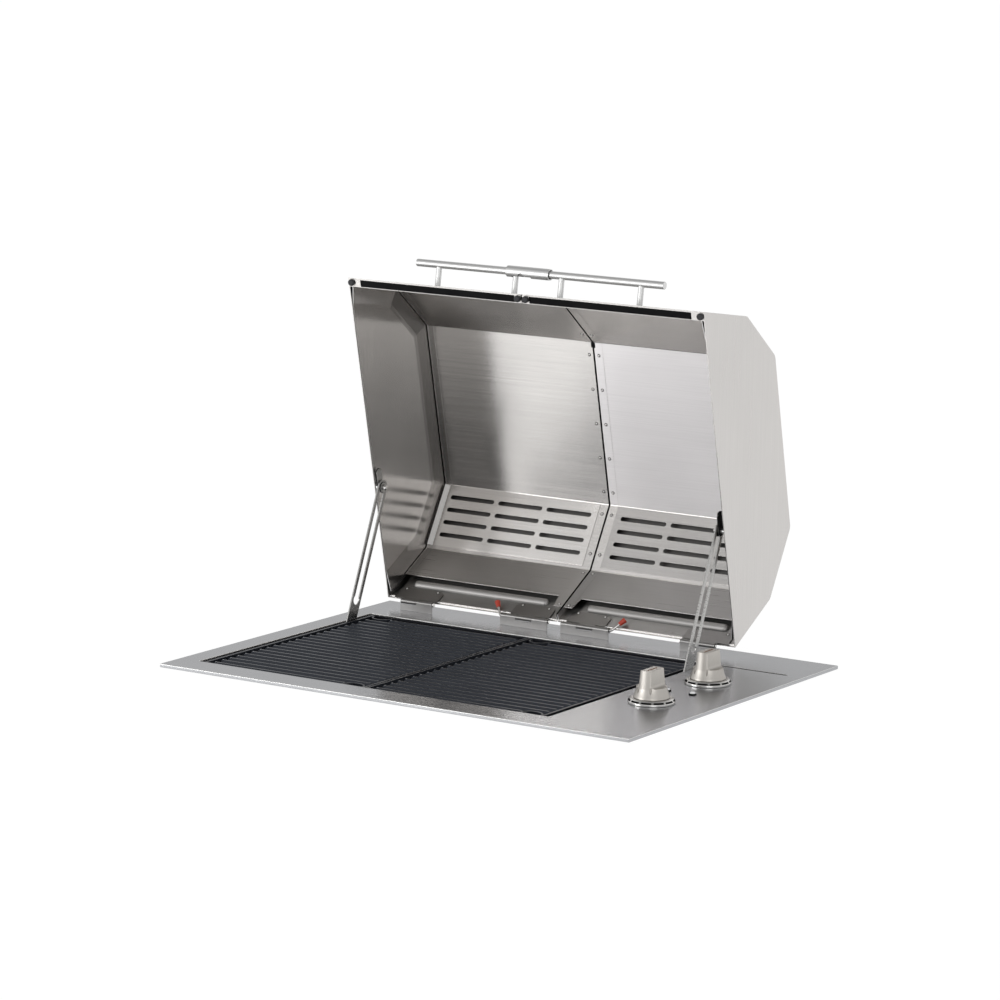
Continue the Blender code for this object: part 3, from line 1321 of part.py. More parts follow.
def stay_nut():
    """A dome nut and washer on the inner side of the arm, with a shank in the slot."""
    reach, _ = stay_reach()
    face = stay_place() - STAY_SHEET - GAP
    steps = 4
    dome = [
        (STAY_NUT_RADIUS * math.cos(math.pi / 2 * i / steps),
         face - STAY_WASHER - STAY_NUT_HEIGHT / 2 - STAY_NUT_HEIGHT / 2 * math.sin(math.pi / 2 * i / steps))
        for i in range(steps)
    ]
    profile = [
        (0, stay_place()), (STAY_SHANK_RADIUS, stay_place()), (STAY_SHANK_RADIUS, face),
        (STAY_WASHER_RADIUS, face), (STAY_WASHER_RADIUS, face - STAY_WASHER),
        (STAY_NUT_RADIUS, face - STAY_WASHER),
    ] + dome + [(0, face - STAY_WASHER - STAY_NUT_HEIGHT)]
    return turned(profile, (0, 0, reach), "X", ROUND_SIDES)


def stay_pivot():
    """The bolt through the tub's wall that the stay arm turns on."""
    head = stay_place() - STAY_SHEET - GAP
    wall = stay_place() + STAY_EDGE_CLEARANCE + TUB_SHEET + GAP
    profile = [
        (0, head - STAY_BOLT_HEAD), (STAY_BOLT_HEAD_RADIUS, head - STAY_BOLT_HEAD),
        (STAY_BOLT_HEAD_RADIUS, head), (STAY_PIVOT_RADIUS, head),
        (STAY_PIVOT_RADIUS, wall), (STAY_BOLT_HEAD_RADIUS, wall),
        (STAY_BOLT_HEAD_RADIUS, wall + STAY_BOLT_NUT), (0, wall + STAY_BOLT_NUT),
    ]
    return turned(profile, axis="X", sides=ROUND_SIDES)


def stay(side, hand):
    _, lean = stay_reach()
    carrier = axis_empty("stay_axis_" + hand, (SEAM_X, STAY_PIVOT_Y, -STAY_PIVOT_DROP), -lean)
    flip = Matrix.Diagonal((side, 1, 1, 1))
    node(moved(stay_arm(), flip), "stay_arm_" + hand, "bright_steel", carrier)
    node(moved(stay_nut(), flip), "stay_nut_" + hand, "bright_steel", carrier)
    place = Matrix.Translation((SEAM_X, STAY_PIVOT_Y, -STAY_PIVOT_DROP)) @ flip
    node(moved(stay_pivot(), place), "stay_pivot_" + hand, "bright_steel")


def set_down():
    """Move everything so that the bounding box stands centred on the origin."""
    bpy.context.view_layer.update()
    corners = [
        thing.matrix_world @ vertex.co
        for thing in bpy.data.objects if thing.type == "MESH"
        for vertex in thing.data.vertices
    ]
    low = Vector(min(corner[i] for corner in corners) for i in range(3))
    high = Vector(max(corner[i] for corner in corners) for i in range(3))
    shift = Vector((-(low.x + high.x) / 2, -(low.y + high.y) / 2, -low.z))
    for thing in bpy.data.objects:
        if thing.parent is None:
            thing.location += shift


def main():
    clear_scene()
    flange_plate()
    tub()
    plate_frame()
    cooking_plate("cooking_plate_left", PLATES_LEFT, PLATE_LEFT_WIDTH)
    cooking_plate("cooking_plate_right", PLATES_LEFT + PLATE_LEFT_WIDTH + PLATE_JOINT, PLATE_RIGHT_WIDTH)
    element_rack()
    tray_runner("tray_runner_left", -1)
    tray_runner("tray_runner_right", 1)
    drip_tray()
    for place, start, y in (
        ("front", ELEMENT_FRONT_START, KNOB_FRONT_Y), ("rear", ELEMENT_REAR_START, KNOB_REAR_Y),
    ):
        heating_element("heating_element_" + place, start)
        temperature_sensor("temperature_sensor_" + place, start, y)
        thermostat("thermostat_" + place, y)
        knob_bezel("knob_bezel_" + place, y)
        knob("knob_" + place, axis_empty("knob_axis_" + place, (KNOB_X, y, 0)))
    for hand, x in zip(("left", "right"), lamp_places()):
        indicator_lamp("indicator_lamp_" + hand, x)
    control_box()
    control_box_cover()
    terminal_block()
    inlet_gland()
    bench_clamp("bench_clamp_front", OPENING_FRONT - TUB_SHEET, -1)
    bench_clamp("bench_clamp_rear", OPENING_REAR + TUB_SHEET, 1)
    for side, hand in ((-1, "left"), (1, "right")):
        hood_half(side, hand)
        fixed_hinges(side, hand)
        stay(side, hand)
    set_down()


main()
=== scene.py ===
"""Looks of the built-in electric grill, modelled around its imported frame.

Metres. The base's pieces are drawn from the flange's front left corner, with Z from its top face.
Each hood half is drawn in its closed pose around the hinge, with X outwards from the seam, and is
then opened and mirrored to where the frame has it.
"""

import json
import math

import bmesh
import bpy
from mathutils import Matrix, Vector


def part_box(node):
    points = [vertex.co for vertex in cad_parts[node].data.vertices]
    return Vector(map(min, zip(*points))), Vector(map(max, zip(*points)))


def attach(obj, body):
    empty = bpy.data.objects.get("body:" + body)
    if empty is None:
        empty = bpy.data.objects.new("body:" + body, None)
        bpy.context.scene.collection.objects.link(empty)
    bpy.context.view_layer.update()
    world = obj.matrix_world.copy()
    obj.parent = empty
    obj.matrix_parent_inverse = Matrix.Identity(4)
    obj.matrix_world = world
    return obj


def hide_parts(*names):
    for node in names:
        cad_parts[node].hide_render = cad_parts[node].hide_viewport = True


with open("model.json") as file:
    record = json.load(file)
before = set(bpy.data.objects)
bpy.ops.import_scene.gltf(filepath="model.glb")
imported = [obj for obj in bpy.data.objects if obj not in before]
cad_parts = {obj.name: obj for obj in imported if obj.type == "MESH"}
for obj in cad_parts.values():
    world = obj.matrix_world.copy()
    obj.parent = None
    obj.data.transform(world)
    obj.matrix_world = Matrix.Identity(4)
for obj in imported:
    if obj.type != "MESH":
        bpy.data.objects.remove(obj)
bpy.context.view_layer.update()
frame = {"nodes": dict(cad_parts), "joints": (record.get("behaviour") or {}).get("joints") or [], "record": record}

GAP = 0.0003
OVERRUN = 0.004

# Flange
FLANGE_SHEET = 0.002
FLANGE_EDGE = 0.006
OPENING_LEFT = 0.038
OPENING_RIGHT = 0.711
OPENING_FRONT = 0.055
OPENING_REAR = 0.547
OPENING_CORNER = 0.003
REAR_SLOT_LENGTH = 0.125
REAR_SLOT_WIDTH = 0.0065
REAR_SLOT_INSET = 0.0035
REAR_SLOT_SHIFT = 0.0095
FLANGE_BEVEL = 0.0010

# Cooking plates
PLATE_TOP_DROP = 0.0012
RIB_HEIGHT = 0.005
RIB_PITCH = 0.0205
RIB_FOOT = 0.009
RIB_TOP = 0.004
RIB_END_GAP = 0.0035
RIB_END_SLOPE = 0.0040
RIB_CAP = 0.0022
RIM_WIDTH = 0.0045
RIM_ABOVE_RIBS = 0.0008
PLATE_SLAB = 0.007
FINGER_HOLE = 0.018
FINGER_HOLE_INSET = 0.026
FINGER_WALL = 0.0030
PLATE_BEVEL = 0.0009

# Controls
KNOB_BASE_RADIUS = 0.0257
KNOB_LEDGE_RADIUS = 0.0243
KNOB_SKIRT_RADIUS = 0.0290
KNOB_SKIRT_LIFT = 0.0006
KNOB_SKIRT_EDGE = 0.0012
KNOB_FLARE_CURVE = 1.3
KNOB_TOP_RADIUS = 0.0215
KNOB_HEIGHT = 0.0525
KNOB_LEDGE_HEIGHT = 0.0252
KNOB_LIFT = 0.001
KNOB_EDGE = 0.0007
KNOB_EDGE_ANGLE = math.radians(28)
KNOB_GROOVE = 0.0016
BLADE_TOP_WIDTH = 0.0185
BLADE_FOOT_WIDTH = 0.0220
BLADE_FILLET = 0.0050
POINTER_WIDTH = 0.0032
POINTER_LENGTH = 0.030
POINTER_DEPTH = 0.0010
BEZEL_RADIUS = 0.0378
BEZEL_SHOULDER = 0.0035
BEZEL_HEIGHT = 0.0086
BEZEL_TOP_RADIUS = 0.0340
BEZEL_BORE = 0.0265
BEZEL_SLOTS = 11
BEZEL_SLOT_INNER = 0.0325
BEZEL_SLOT_LOW = 0.0042
BEZEL_SLOT_HIGH = 0.0068
BEZEL_TICK = 0.0036
BEZEL_TURN = math.radians(-57)
BEZEL_ARC_STEPS = 6
BUSH_HOLE = 0.0051
LAMP_RADIUS = 0.0064
LAMP_RIM = 0.0022
LAMP_DOME = 0.0048
LAMP_STEM_RADIUS = 0.0040
LAMP_STEM = 0.022
LAMP_NUT_RADIUS = 0.0075
LAMP_NUT = 0.003

# Hood halves, closed profile measured from the rear rim
OPEN_ANGLE = math.radians(77.07)
HINGE_BELOW_RIM = 0.0070
HINGE_AHEAD_OF_RIM = 0.0011
HINGE_ABOVE_FLANGE = 0.0155
SEAM_HALF_GAP = 0.001
LID_SPAN = 0.3472
LID_DEPTH = 0.5856
LID_CORNERS = (
    (0, 0), (0.037, 0.1244), (0.1326, 0.2110), (0.4385, 0.2110), (0.5337, 0.133), (LID_DEPTH, 0),
)
REAR_WALL, REAR_SHOULDER, CROWN, FRONT_SHOULDER, FRONT_WALL = range(5)
BEND_RADIUS = 0.0035
SKIN = 0.0012
LINER_INSET = 0.0120
LINER_SHEET = 0.0010
SIDE_INSET = 0.0060
SIDE_JOINT = 0.0016
SIDE_PANEL_BACK = 0.0034
SIDE_FORMED_WIDTH = 0.0340
SIDE_FORMED_FADE = 0.0070
SIDE_FORMED_RISE = 0.0048
LINER_REAR_EDGE = 0.047
LINER_TAB = 0.0175
LINER_TAB_SLANT = 0.004
LINER_TAB_END = 0.022
CHANNEL_SHEET = 0.0010
CHANNEL_WIDTH = 0.0165
STRIP_SHEET = 0.0004
SEAM_EDGE = 0.0008
SEAM_RELIEF_SHADE_WIDTH = 0.0030
SEAM_RELIEF_SHADE_LENGTH = 0.0145
VENT_BORDER_LOW = 0.010
VENT_BORDER_HIGH = 0.0056
VENT_SIDE_MARGIN = 0.0207
VENT_WINDOW_BORDER = 0.007
VENT_SHEET = 0.0010
VENT_ROWS = 4
VENT_COLUMNS = 3
VENT_ROW_PITCH = 0.0234
VENT_FIRST_ROW = 0.0315
VENT_COLUMN_PITCH = 0.0995
VENT_FIRST_COLUMN = 0.0298
VENT_SLOT_LENGTH = 0.0905
VENT_SLOT_HEIGHT = 0.0078
VENT_LIP_WIDTH = 0.0100
VENT_LIP_RISE = 0.0030
VENT_LIP_GAP = 0.0007
SEAL_WIDTH = 0.0120
RIM_FOLD = 0.0155
SEAL_SEAM_MARGIN = 0.0130
SEAL_SIDE_MARGIN = 0.0240
SEAL_CENTRE_INSET = 0.0086
SEAL_CORNER = 0.0010
SEAL_BACKING = 0.0018
BUMPER_CENTRE_INSET = 0.0078
BUMPER_RADIUS = 0.0058
BUMPER_HEIGHT = 0.0050
BUMPER_SIDE_INSET = 0.0067
BUMPER_STEM_RADIUS = 0.0030
BEAD_RADIUS = 0.0080
BEAD_HEIGHT = 0.0072
BEAD_CENTRE = 0.0408
BEAD_SEAM_MARGIN = 0.0385
BEAD_SIDE_MARGIN = 0.0330
BEAD_STEPS = 10
BEAD_TIP = 0.02
RIVET_RADIUS = 0.0020
RIVET_HEIGHT = 0.0014
RIVET_SHADOW_RING = 0.0009
RIVET_SEAM_INSET = 0.0085
CROWN_RIVETS = 5
CROWN_RIVET_PITCH = 0.0625
REAR_WALL_RIVETS = (0.0311, 0.1175)
REAR_SHOULDER_RIVETS = (0.0328, 0.1063)
FRONT_SHOULDER_RIVETS = (0.0288,)
SAME_WAY = 0.99
SIDEWAYS = 0.9
SEAMWARDS = -0.5
DOWNWARDS = -0.3

# Hinges, measured from the seam
KNUCKLE_RADIUS = 0.0045
KNUCKLE_BORE = 0.0029
KNUCKLE_GAP = 0.0004
PIN_RADIUS = 0.0025
PIN_HEAD_RADIUS = 0.0040
PIN_HEAD = 0.0015
LEAF_SHEET = 0.0015
LEAF_CORNER = 0.006
LID_LEAF_LOW = 0.0020
LID_LEAF_HIGH = 0.0300
LID_LEAF_RIVET = 0.0256
LID_LEAF_RIVET_INSET = 0.0120
HINGES = {
    "inner": {"near": 0.0135, "length": 0.0945, "owners": (False, True, False), "leaf": (0.0173, 0.0947)},
    "outer": {"near": 0.2480, "length": 0.0655, "owners": (False, True), "leaf": (0.2448, 0.3333)},
}
LEVER_RADIUS = 0.0022
LEVER_OUT = 0.017
LEVER_RISE = 0.018
LEVER_BACK = 0.018
LEVER_START = 0.004
LEVER_TIP_RADIUS = 0.0050
LEVER_TIP_LENGTH = 0.013
LEVER_TIP_EDGE = 0.0008
LEVER_BEND = 0.004
LEVER_STEPS = 6

# Handle bars and sleeve
HANDLE_STANDOFF = 0.0366
HANDLE_FROM_RIM = 0.0490
BAR_RADIUS = 0.00635
BAR_START = 0.0014
BAR_END = 0.2420
BAR_CHAMFER = 0.0006
POST_RADIUS = 0.0049
POST_PLACES = (0.0448, 0.1979)
SLEEVE_RADIUS = 0.0095
SLEEVE_BORE = 0.0068
SLEEVE_PAST_SEAM = 0.0224
SLEEVE_REACH = 0.0608
SLEEVE_TRAVEL = 0.026
SLEEVE_SLOT_CLEARANCE = 0.0008
NOTCH_RADIUS = 0.0052
NOTCH_PLACE = 0.0310
SLEEVE_MOUTH_RADIUS = 0.0079
SLEEVE_MOUTH_DEPTH = 0.002

# Stays
STAY_PIN_FORWARD = 0.2045
STAY_PIN_RISE = 0.0053
STAY_EDGE_CLEARANCE = 0.0012
STAY_SHEET = 0.0025
STAY_WIDTH = 0.027
STAY_SLOT = 0.0130
STAY_KEYHOLE_RADIUS = 0.0085
STAY_KEYHOLE_PLACE = 0.0580
STAY_PIVOT_RADIUS = 0.0040
STAY_PIVOT_CLEARANCE = 0.0004
STAY_STUD_RADIUS = 0.0040
STAY_WASHER_RADIUS = 0.0090
STAY_WASHER = 0.0014
STAY_NUT_RADIUS = 0.0060
STAY_NUT_HEIGHT = 0.0075
STAY_NUT_HEX = 0.0034
STAY_OUTLINE = 0.0009
STAY_OUTLINE_SHEET = 0.0004
STAY_EDGE = 0.0005
STUD_PLATE_WIDTH = 0.0150
STUD_PLATE_REACH = 0.0340
STUD_PLATE_SHEET = 0.0012
STUD_PLATE_CLEARANCE = 0.0010
END_STRIP_WIDTH = 0.0125
END_STRIP_SHEET = 0.0004
END_HIGHLIGHT_WIDTH = 0.0011

# Smoothness of round shapes
ROUND = 48
MID_ROUND = 32
SMALL_ROUND = 24
BEND_STEPS = 5
ARC_STEPS = 8
EDGE_ANGLE = math.radians(35)
STEEP_ANGLE = math.radians(50)
THIN_EDGE = 0.0002
FINE_EDGE = 0.0003
SMALL_EDGE = 0.0004
SOFT_EDGE = 0.0006
MATERIAL_SLOTS = 6

# Places that the frame gives
flange_low, flange_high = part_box("flange_plate")
ORIGIN = Vector((flange_low.x, flange_low.y, flange_high.z))
FLANGE_WIDTH = flange_high.x - flange_low.x
FLANGE_DEPTH = flange_high.y - flange_low.y
JOINTS = {joint["name"]: Vector(joint["pos_m"]) for joint in frame["joints"] if joint.get("pos_m")}
KNOB_PLACES = {place: JOINTS["knob_%s_turn" % place] - ORIGIN for place in ("front", "rear")}
KNOB_X = KNOB_PLACES["front"].x
SIDES = {"left": -1, "right": 1}
LAMP_PLACES = {hand: sum(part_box("indicator_lamp_" + hand), -2 * ORIGIN) / 2 for hand in SIDES}
HINGE = JOINTS["hood_right_hinge"]
STAY_PIVOT = JOINTS["stay_right_pivot"]
BASE = Matrix.Translation(ORIGIN)
BODIES = {node: body for body, nodes in frame["record"]["behaviour"]["bodies"].items() for node in nodes}
AXES = {"X": lambda a, b, c: (c, a, b), "Y": lambda a, b, c: (a, c, b), "Z": lambda a, b, c: (a, b, c)}


def sided(place, hand, tilt=0.0):
    """Carries the axes of a right-hand piece to its place, tilted about X, on either side."""
    return Matrix.Translation(place) @ Matrix.Rotation(-tilt, 4, "X") @ Matrix.Diagonal((SIDES[hand], 1, 1, 1))


# Shapes
def to_object(shape, name="piece"):
    bmesh.ops.remove_doubles(shape, verts=shape.verts, dist=GAP / 30)
    bmesh.ops.recalc_face_normals(shape, faces=shape.faces)
    mesh = bpy.data.meshes.new(name)
    shape.to_mesh(mesh)
    shape.free()
    for _ in range(MATERIAL_SLOTS):
        mesh.materials.append(None)
    thing = bpy.data.objects.new(name, mesh)
    bpy.context.scene.collection.objects.link(thing)
    return thing


def lofted(rings):
    """Closed outlines of equally many points, joined in turn, with both ends capped."""
    shape = bmesh.new()
    loops = [[shape.verts.new(spot) for spot in ring] for ring in rings]
    for lower, upper in zip(loops, loops[1:]):
        for i in range(len(lower)):
            shape.faces.new((lower[i - 1], lower[i], upper[i], upper[i - 1]))
    shape.faces.new(loops[0])
    shape.faces.new(loops[-1])
    return to_object(shape)


def prism(outline, low, high, axis="X"):
    """A closed outline carried from low to high along an axis."""
    return lofted([[AXES[axis](a, b, end) for a, b in outline] for end in (low, high)])


def rectangle(low, high):
    return [(low[0], low[1]), (high[0], low[1]), (high[0], high[1]), (low[0], high[1])]


def block(low, high):
    return prism(rectangle(low, high), low[2], high[2], "Z")


def arc(centre, radius, start, sweep, steps=SMALL_ROUND):
    """Points along an arc, both ends included."""
    turns = [start + sweep * i / steps for i in range(steps + 1)]
    return [(centre[0] + radius * math.cos(turn), centre[1] + radius * math.sin(turn)) for turn in turns]


def circle(radius, sides):
    return arc((0, 0), radius, 0, 2 * math.pi, sides)[:-1]


def dome(radius, height, base=0.0, steps=ARC_STEPS):
    """A dome's profile from its foot to just short of its top."""
    turns = [math.pi / 2 * i / steps for i in range(steps)]
    return [(radius * math.cos(turn), base + height * math.sin(turn)) for turn in turns]


def stadium(length, width, centre=(0, 0)):
    """An outline with round ends, its long way along the first coordinate."""
    reach = (length - width) / 2
    outline = []
    for side in (1, -1):
        middle = (centre[0] + side * reach, centre[1])
        outline += arc(middle, side * width / 2, -math.pi / 2, math.pi, SMALL_ROUND // 2)
    return outline


def softened(points, radius, steps=BEND_STEPS, closed=True):
    """The outline with each corner turned into an arc of that radius."""
    points = [Vector(point) for point in points]
    count = len(points)
    result = []
    for i, corner in enumerate(points):
        if not closed and i in (0, count - 1):
            result.append(tuple(corner))
            continue
        before = (points[i - 1] - corner).normalized()
        after = (points[(i + 1) % count] - corner).normalized()
        half_angle = before.angle(after) / 2
        middle = corner + (before + after).normalized() * (radius / math.sin(half_angle))
        reach = radius / math.tan(half_angle)
        start, end = corner + before * reach - middle, corner + after * reach - middle
        sweep = start.angle_signed(end)
        result += arc(middle, radius, math.atan2(start.y, start.x), -sweep, steps)
    return result


def rod(start, end, radius, sides=ROUND, end_radius=None):
    start, end = Vector(start), Vector(end)
    way = end - start
    turn = way.to_track_quat("Z", "Y").to_matrix().to_4x4()
    shape = bmesh.new()
    bmesh.ops.create_cone(
        shape, cap_ends=True, segments=sides, radius1=radius,
        radius2=radius if end_radius is None else end_radius, depth=way.length,
        matrix=Matrix.Translation((start + end) / 2) @ turn,
    )
    return to_object(shape)


def turned(profile, centre=(0, 0, 0), axis="Z", sides=SMALL_ROUND):
    """A profile of radius and height pairs turned around an axis. Radius 0 closes on the axis."""
    shape = bmesh.new()
    rings = []
    for radius, height in profile:
        spots = [(0, 0)] if radius == 0 else circle(radius, sides)
        rings.append([shape.verts.new(Vector(AXES[axis](x, y, height)) + Vector(centre)) for x, y in spots])
    pairs = list(zip(rings, rings[1:]))
    if len(rings[0]) > 1:
        pairs.append((rings[-1], rings[0]))
    for lower, upper in pairs:
        for i in range(sides):
            steps = ((lower, i), (lower, i + 1), (upper, i + 1), (upper, i))
            corners = list(dict.fromkeys(ring[k % len(ring)] for ring, k in steps))
            if len(corners) > 2:
                shape.faces.new(corners)
    return to_object(shape)


def tube(points, radii, sides=SMALL_ROUND):
    """A solid tube along points, with a radius at each one."""
    curve = bpy.data.curves.new("path", "CURVE")
    curve.dimensions = "3D"
    curve.use_fill_caps = True
    curve.bevel_depth = 1.0
    curve.bevel_resolution = sides // 2 - 2
    spline = curve.splines.new("POLY")
    spline.points.add(len(points) - 1)
    for spot, point, radius in zip(spline.points, points, radii):
        spot.co = (*point, 1)
        spot.radius = radius
    guide = bpy.data.objects.new("path", curve)
    bpy.context.scene.collection.objects.link(guide)
    shape = bmesh.new()
    shape.from_mesh(evaluated_mesh(guide))
    bpy.data.objects.remove(guide, do_unlink=True)
    return to_object(shape)


def group(*pieces):
    """One object that holds separate bodies."""
    shape = bmesh.new()
    for piece in pieces:
        shape.from_mesh(piece.data)
        bpy.data.objects.remove(piece, do_unlink=True)
    return to_object(shape)


def evaluated_mesh(thing):
    graph = bpy.context.evaluated_depsgraph_get()
    return bpy.data.meshes.new_from_object(thing.evaluated_get(graph))


def modified(thing, kind, **settings):
    """Apply one modifier."""
    step = thing.modifiers.new("step", kind)
    for name, value in settings.items():
        setattr(step, name, value)
    mesh = evaluated_mesh(thing)
    thing.modifiers.clear()
    thing.data = mesh
    return thing


def combine(body, tools, operation):
    for tool in tools:
        modified(body, "BOOLEAN", operation=operation, solver="EXACT", object=tool)
        bpy.data.objects.remove(tool, do_unlink=True)
    return body


def fuse(body, *others):
    return combine(body, others, "UNION")


def carve(body, *cutters):
    return combine(body, cutters, "DIFFERENCE")


def rounded(thing, width, steps=2, angle=EDGE_ANGLE):
    """Break every edge sharper than the angle."""
    return modified(thing, "BEVEL", width=width, segments=steps, limit_method="ANGLE", angle_limit=angle,
                    use_clamp_overlap=True, harden_normals=False)


def moved(thing, matrix):
    thing.data.transform(matrix)
    if matrix.determinant() < 0:
        thing.data.flip_normals()
    return thing


def painted(thing, index, chosen=lambda face: True):
    """Mark the chosen faces with one of the piece's materials. A cutter's mark stays on the faces it leaves."""
    for face in thing.data.polygons:
        if chosen(face):
            face.material_index = index
    return thing


# Materials
def feed(tree, node, inputs):
    """Set a node's inputs, or link those that are given another node's output."""
    for key, value in inputs.items():
        if isinstance(value, bpy.types.NodeSocket):
            tree.links.new(value, node.inputs[key])
        else:
            node.inputs[key].default_value = value


def add(tree, kind, inputs=None, output=0, **settings):
    """A new shader node's output."""
    node = tree.nodes.new("ShaderNode" + kind)
    for name, value in settings.items():
        setattr(node, name, value)
    feed(tree, node, inputs or {})
    return node.outputs[output]


def new_material(name):
    material = bpy.data.materials.new(name)
    material.use_nodes = True
    return material, material.node_tree, material.node_tree.nodes["Principled BSDF"]


def noise(tree, stretch, detail):
    """Noise over the object's own axes, drawn out by a small scale along an axis."""
    place = add(tree, "Mapping", {"Vector": add(tree, "TexCoord", output="Object"), "Scale": stretch})
    return add(tree, "TexNoise", {"Vector": place, "Scale": 1.0, "Detail": detail}, "Fac")


def spread(tree, source, low, high):
    """The source's middle range carried to low and high."""
    reach = {"From Min": 0.3, "From Max": 0.7, "To Min": low, "To Max": high}
    return add(tree, "MapRange", {"Value": source, **reach})


def surface(tree, shader, colour, shades, roughness, bump, constants):
    """A colour times its shades, each around one, with a roughness and a bump of strength and depth."""
    tint = add(tree, "RGB")
    tint.default_value = (*colour, 1)
    for source, low, high in shades:
        tint = add(tree, "VectorMath", {0: tint, "Scale": spread(tree, source, low, high)}, operation="SCALE")
    height, strength, depth = bump
    normal = add(tree, "Bump", {"Height": height, "Strength": strength, "Distance": depth})
    feed(tree, shader, {"Base Color": tint, "Roughness": roughness, "Normal": normal, **constants})


def brushed_metal(name, colour, roughness, anisotropic=0.0, brush="X", bump=0.05, grain=1.0):
    """Sheet with fine lines along its brush axis, slow cloudiness and brighter edges from wear."""
    material, tree, shader = new_material(name)
    lines, streaks = (
        noise(tree, [along if axis == brush else across * grain for axis in "XYZ"], detail)
        for along, across, detail in ((9.0, 1800.0, 2.0), (2.5, 420.0, 3.0))
    )
    clouds = noise(tree, (7.0, 7.0, 7.0), 2.0)
    edges = add(tree, "NewGeometry", output="Pointiness")
    shades = ((lines, 0.965, 1.035), (streaks, 0.975, 1.025), (clouds, 0.975, 1.02), (edges, 0.97, 1.03))
    rough = add(tree, "Math", {
        0: spread(tree, streaks, roughness * 0.92, roughness * 1.06), 1: spread(tree, clouds, -0.012, 0.014),
    }, operation="ADD")
    surface(tree, shader, colour, shades, rough, (lines, bump, 0.0002),
            {"Metallic": 1.0, "Anisotropic": anisotropic})
    if anisotropic:
        feed(tree, shader, {"Tangent": add(tree, "Tangent", direction_type="RADIAL", axis=brush)})
    return material


def cast_material(name, colour, roughness, specular):
    """Seasoned iron: fine sandy pits, a slow change of gloss and slightly paler edges."""
    material, tree, shader = new_material(name)
    sand, patches = noise(tree, (900.0, 900.0, 900.0), 4.0), noise(tree, (16.0, 16.0, 16.0), 3.0)
    edges = add(tree, "NewGeometry", output="Pointiness")
    surface(tree, shader, colour, ((sand, 0.85, 1.15), (patches, 0.90, 1.10), (edges, 0.85, 1.2)),
            spread(tree, patches, roughness * 0.85, roughness * 1.15), (sand, 0.15, 0.0003),
            {"Specular IOR Level": specular, "Specular Tint": (0.84, 0.89, 1.0, 1)})
    return material


def moulded_material(name, colour, roughness, metallic=0.0, bump=0.10, specular=0.5):
    """Plastic, rubber or a plated part: a fine moulded grain and a little unevenness."""
    material, tree, shader = new_material(name)
    grain, patches = noise(tree, (600.0, 600.0, 600.0), 3.0), noise(tree, (30.0, 30.0, 30.0), 2.0)
    surface(tree, shader, colour, ((grain, 0.94, 1.06), (patches, 0.96, 1.04)),
            spread(tree, patches, roughness * 0.9, roughness * 1.1), (grain, bump, 0.0001),
            {"Metallic": metallic, "Specular IOR Level": specular})
    return material


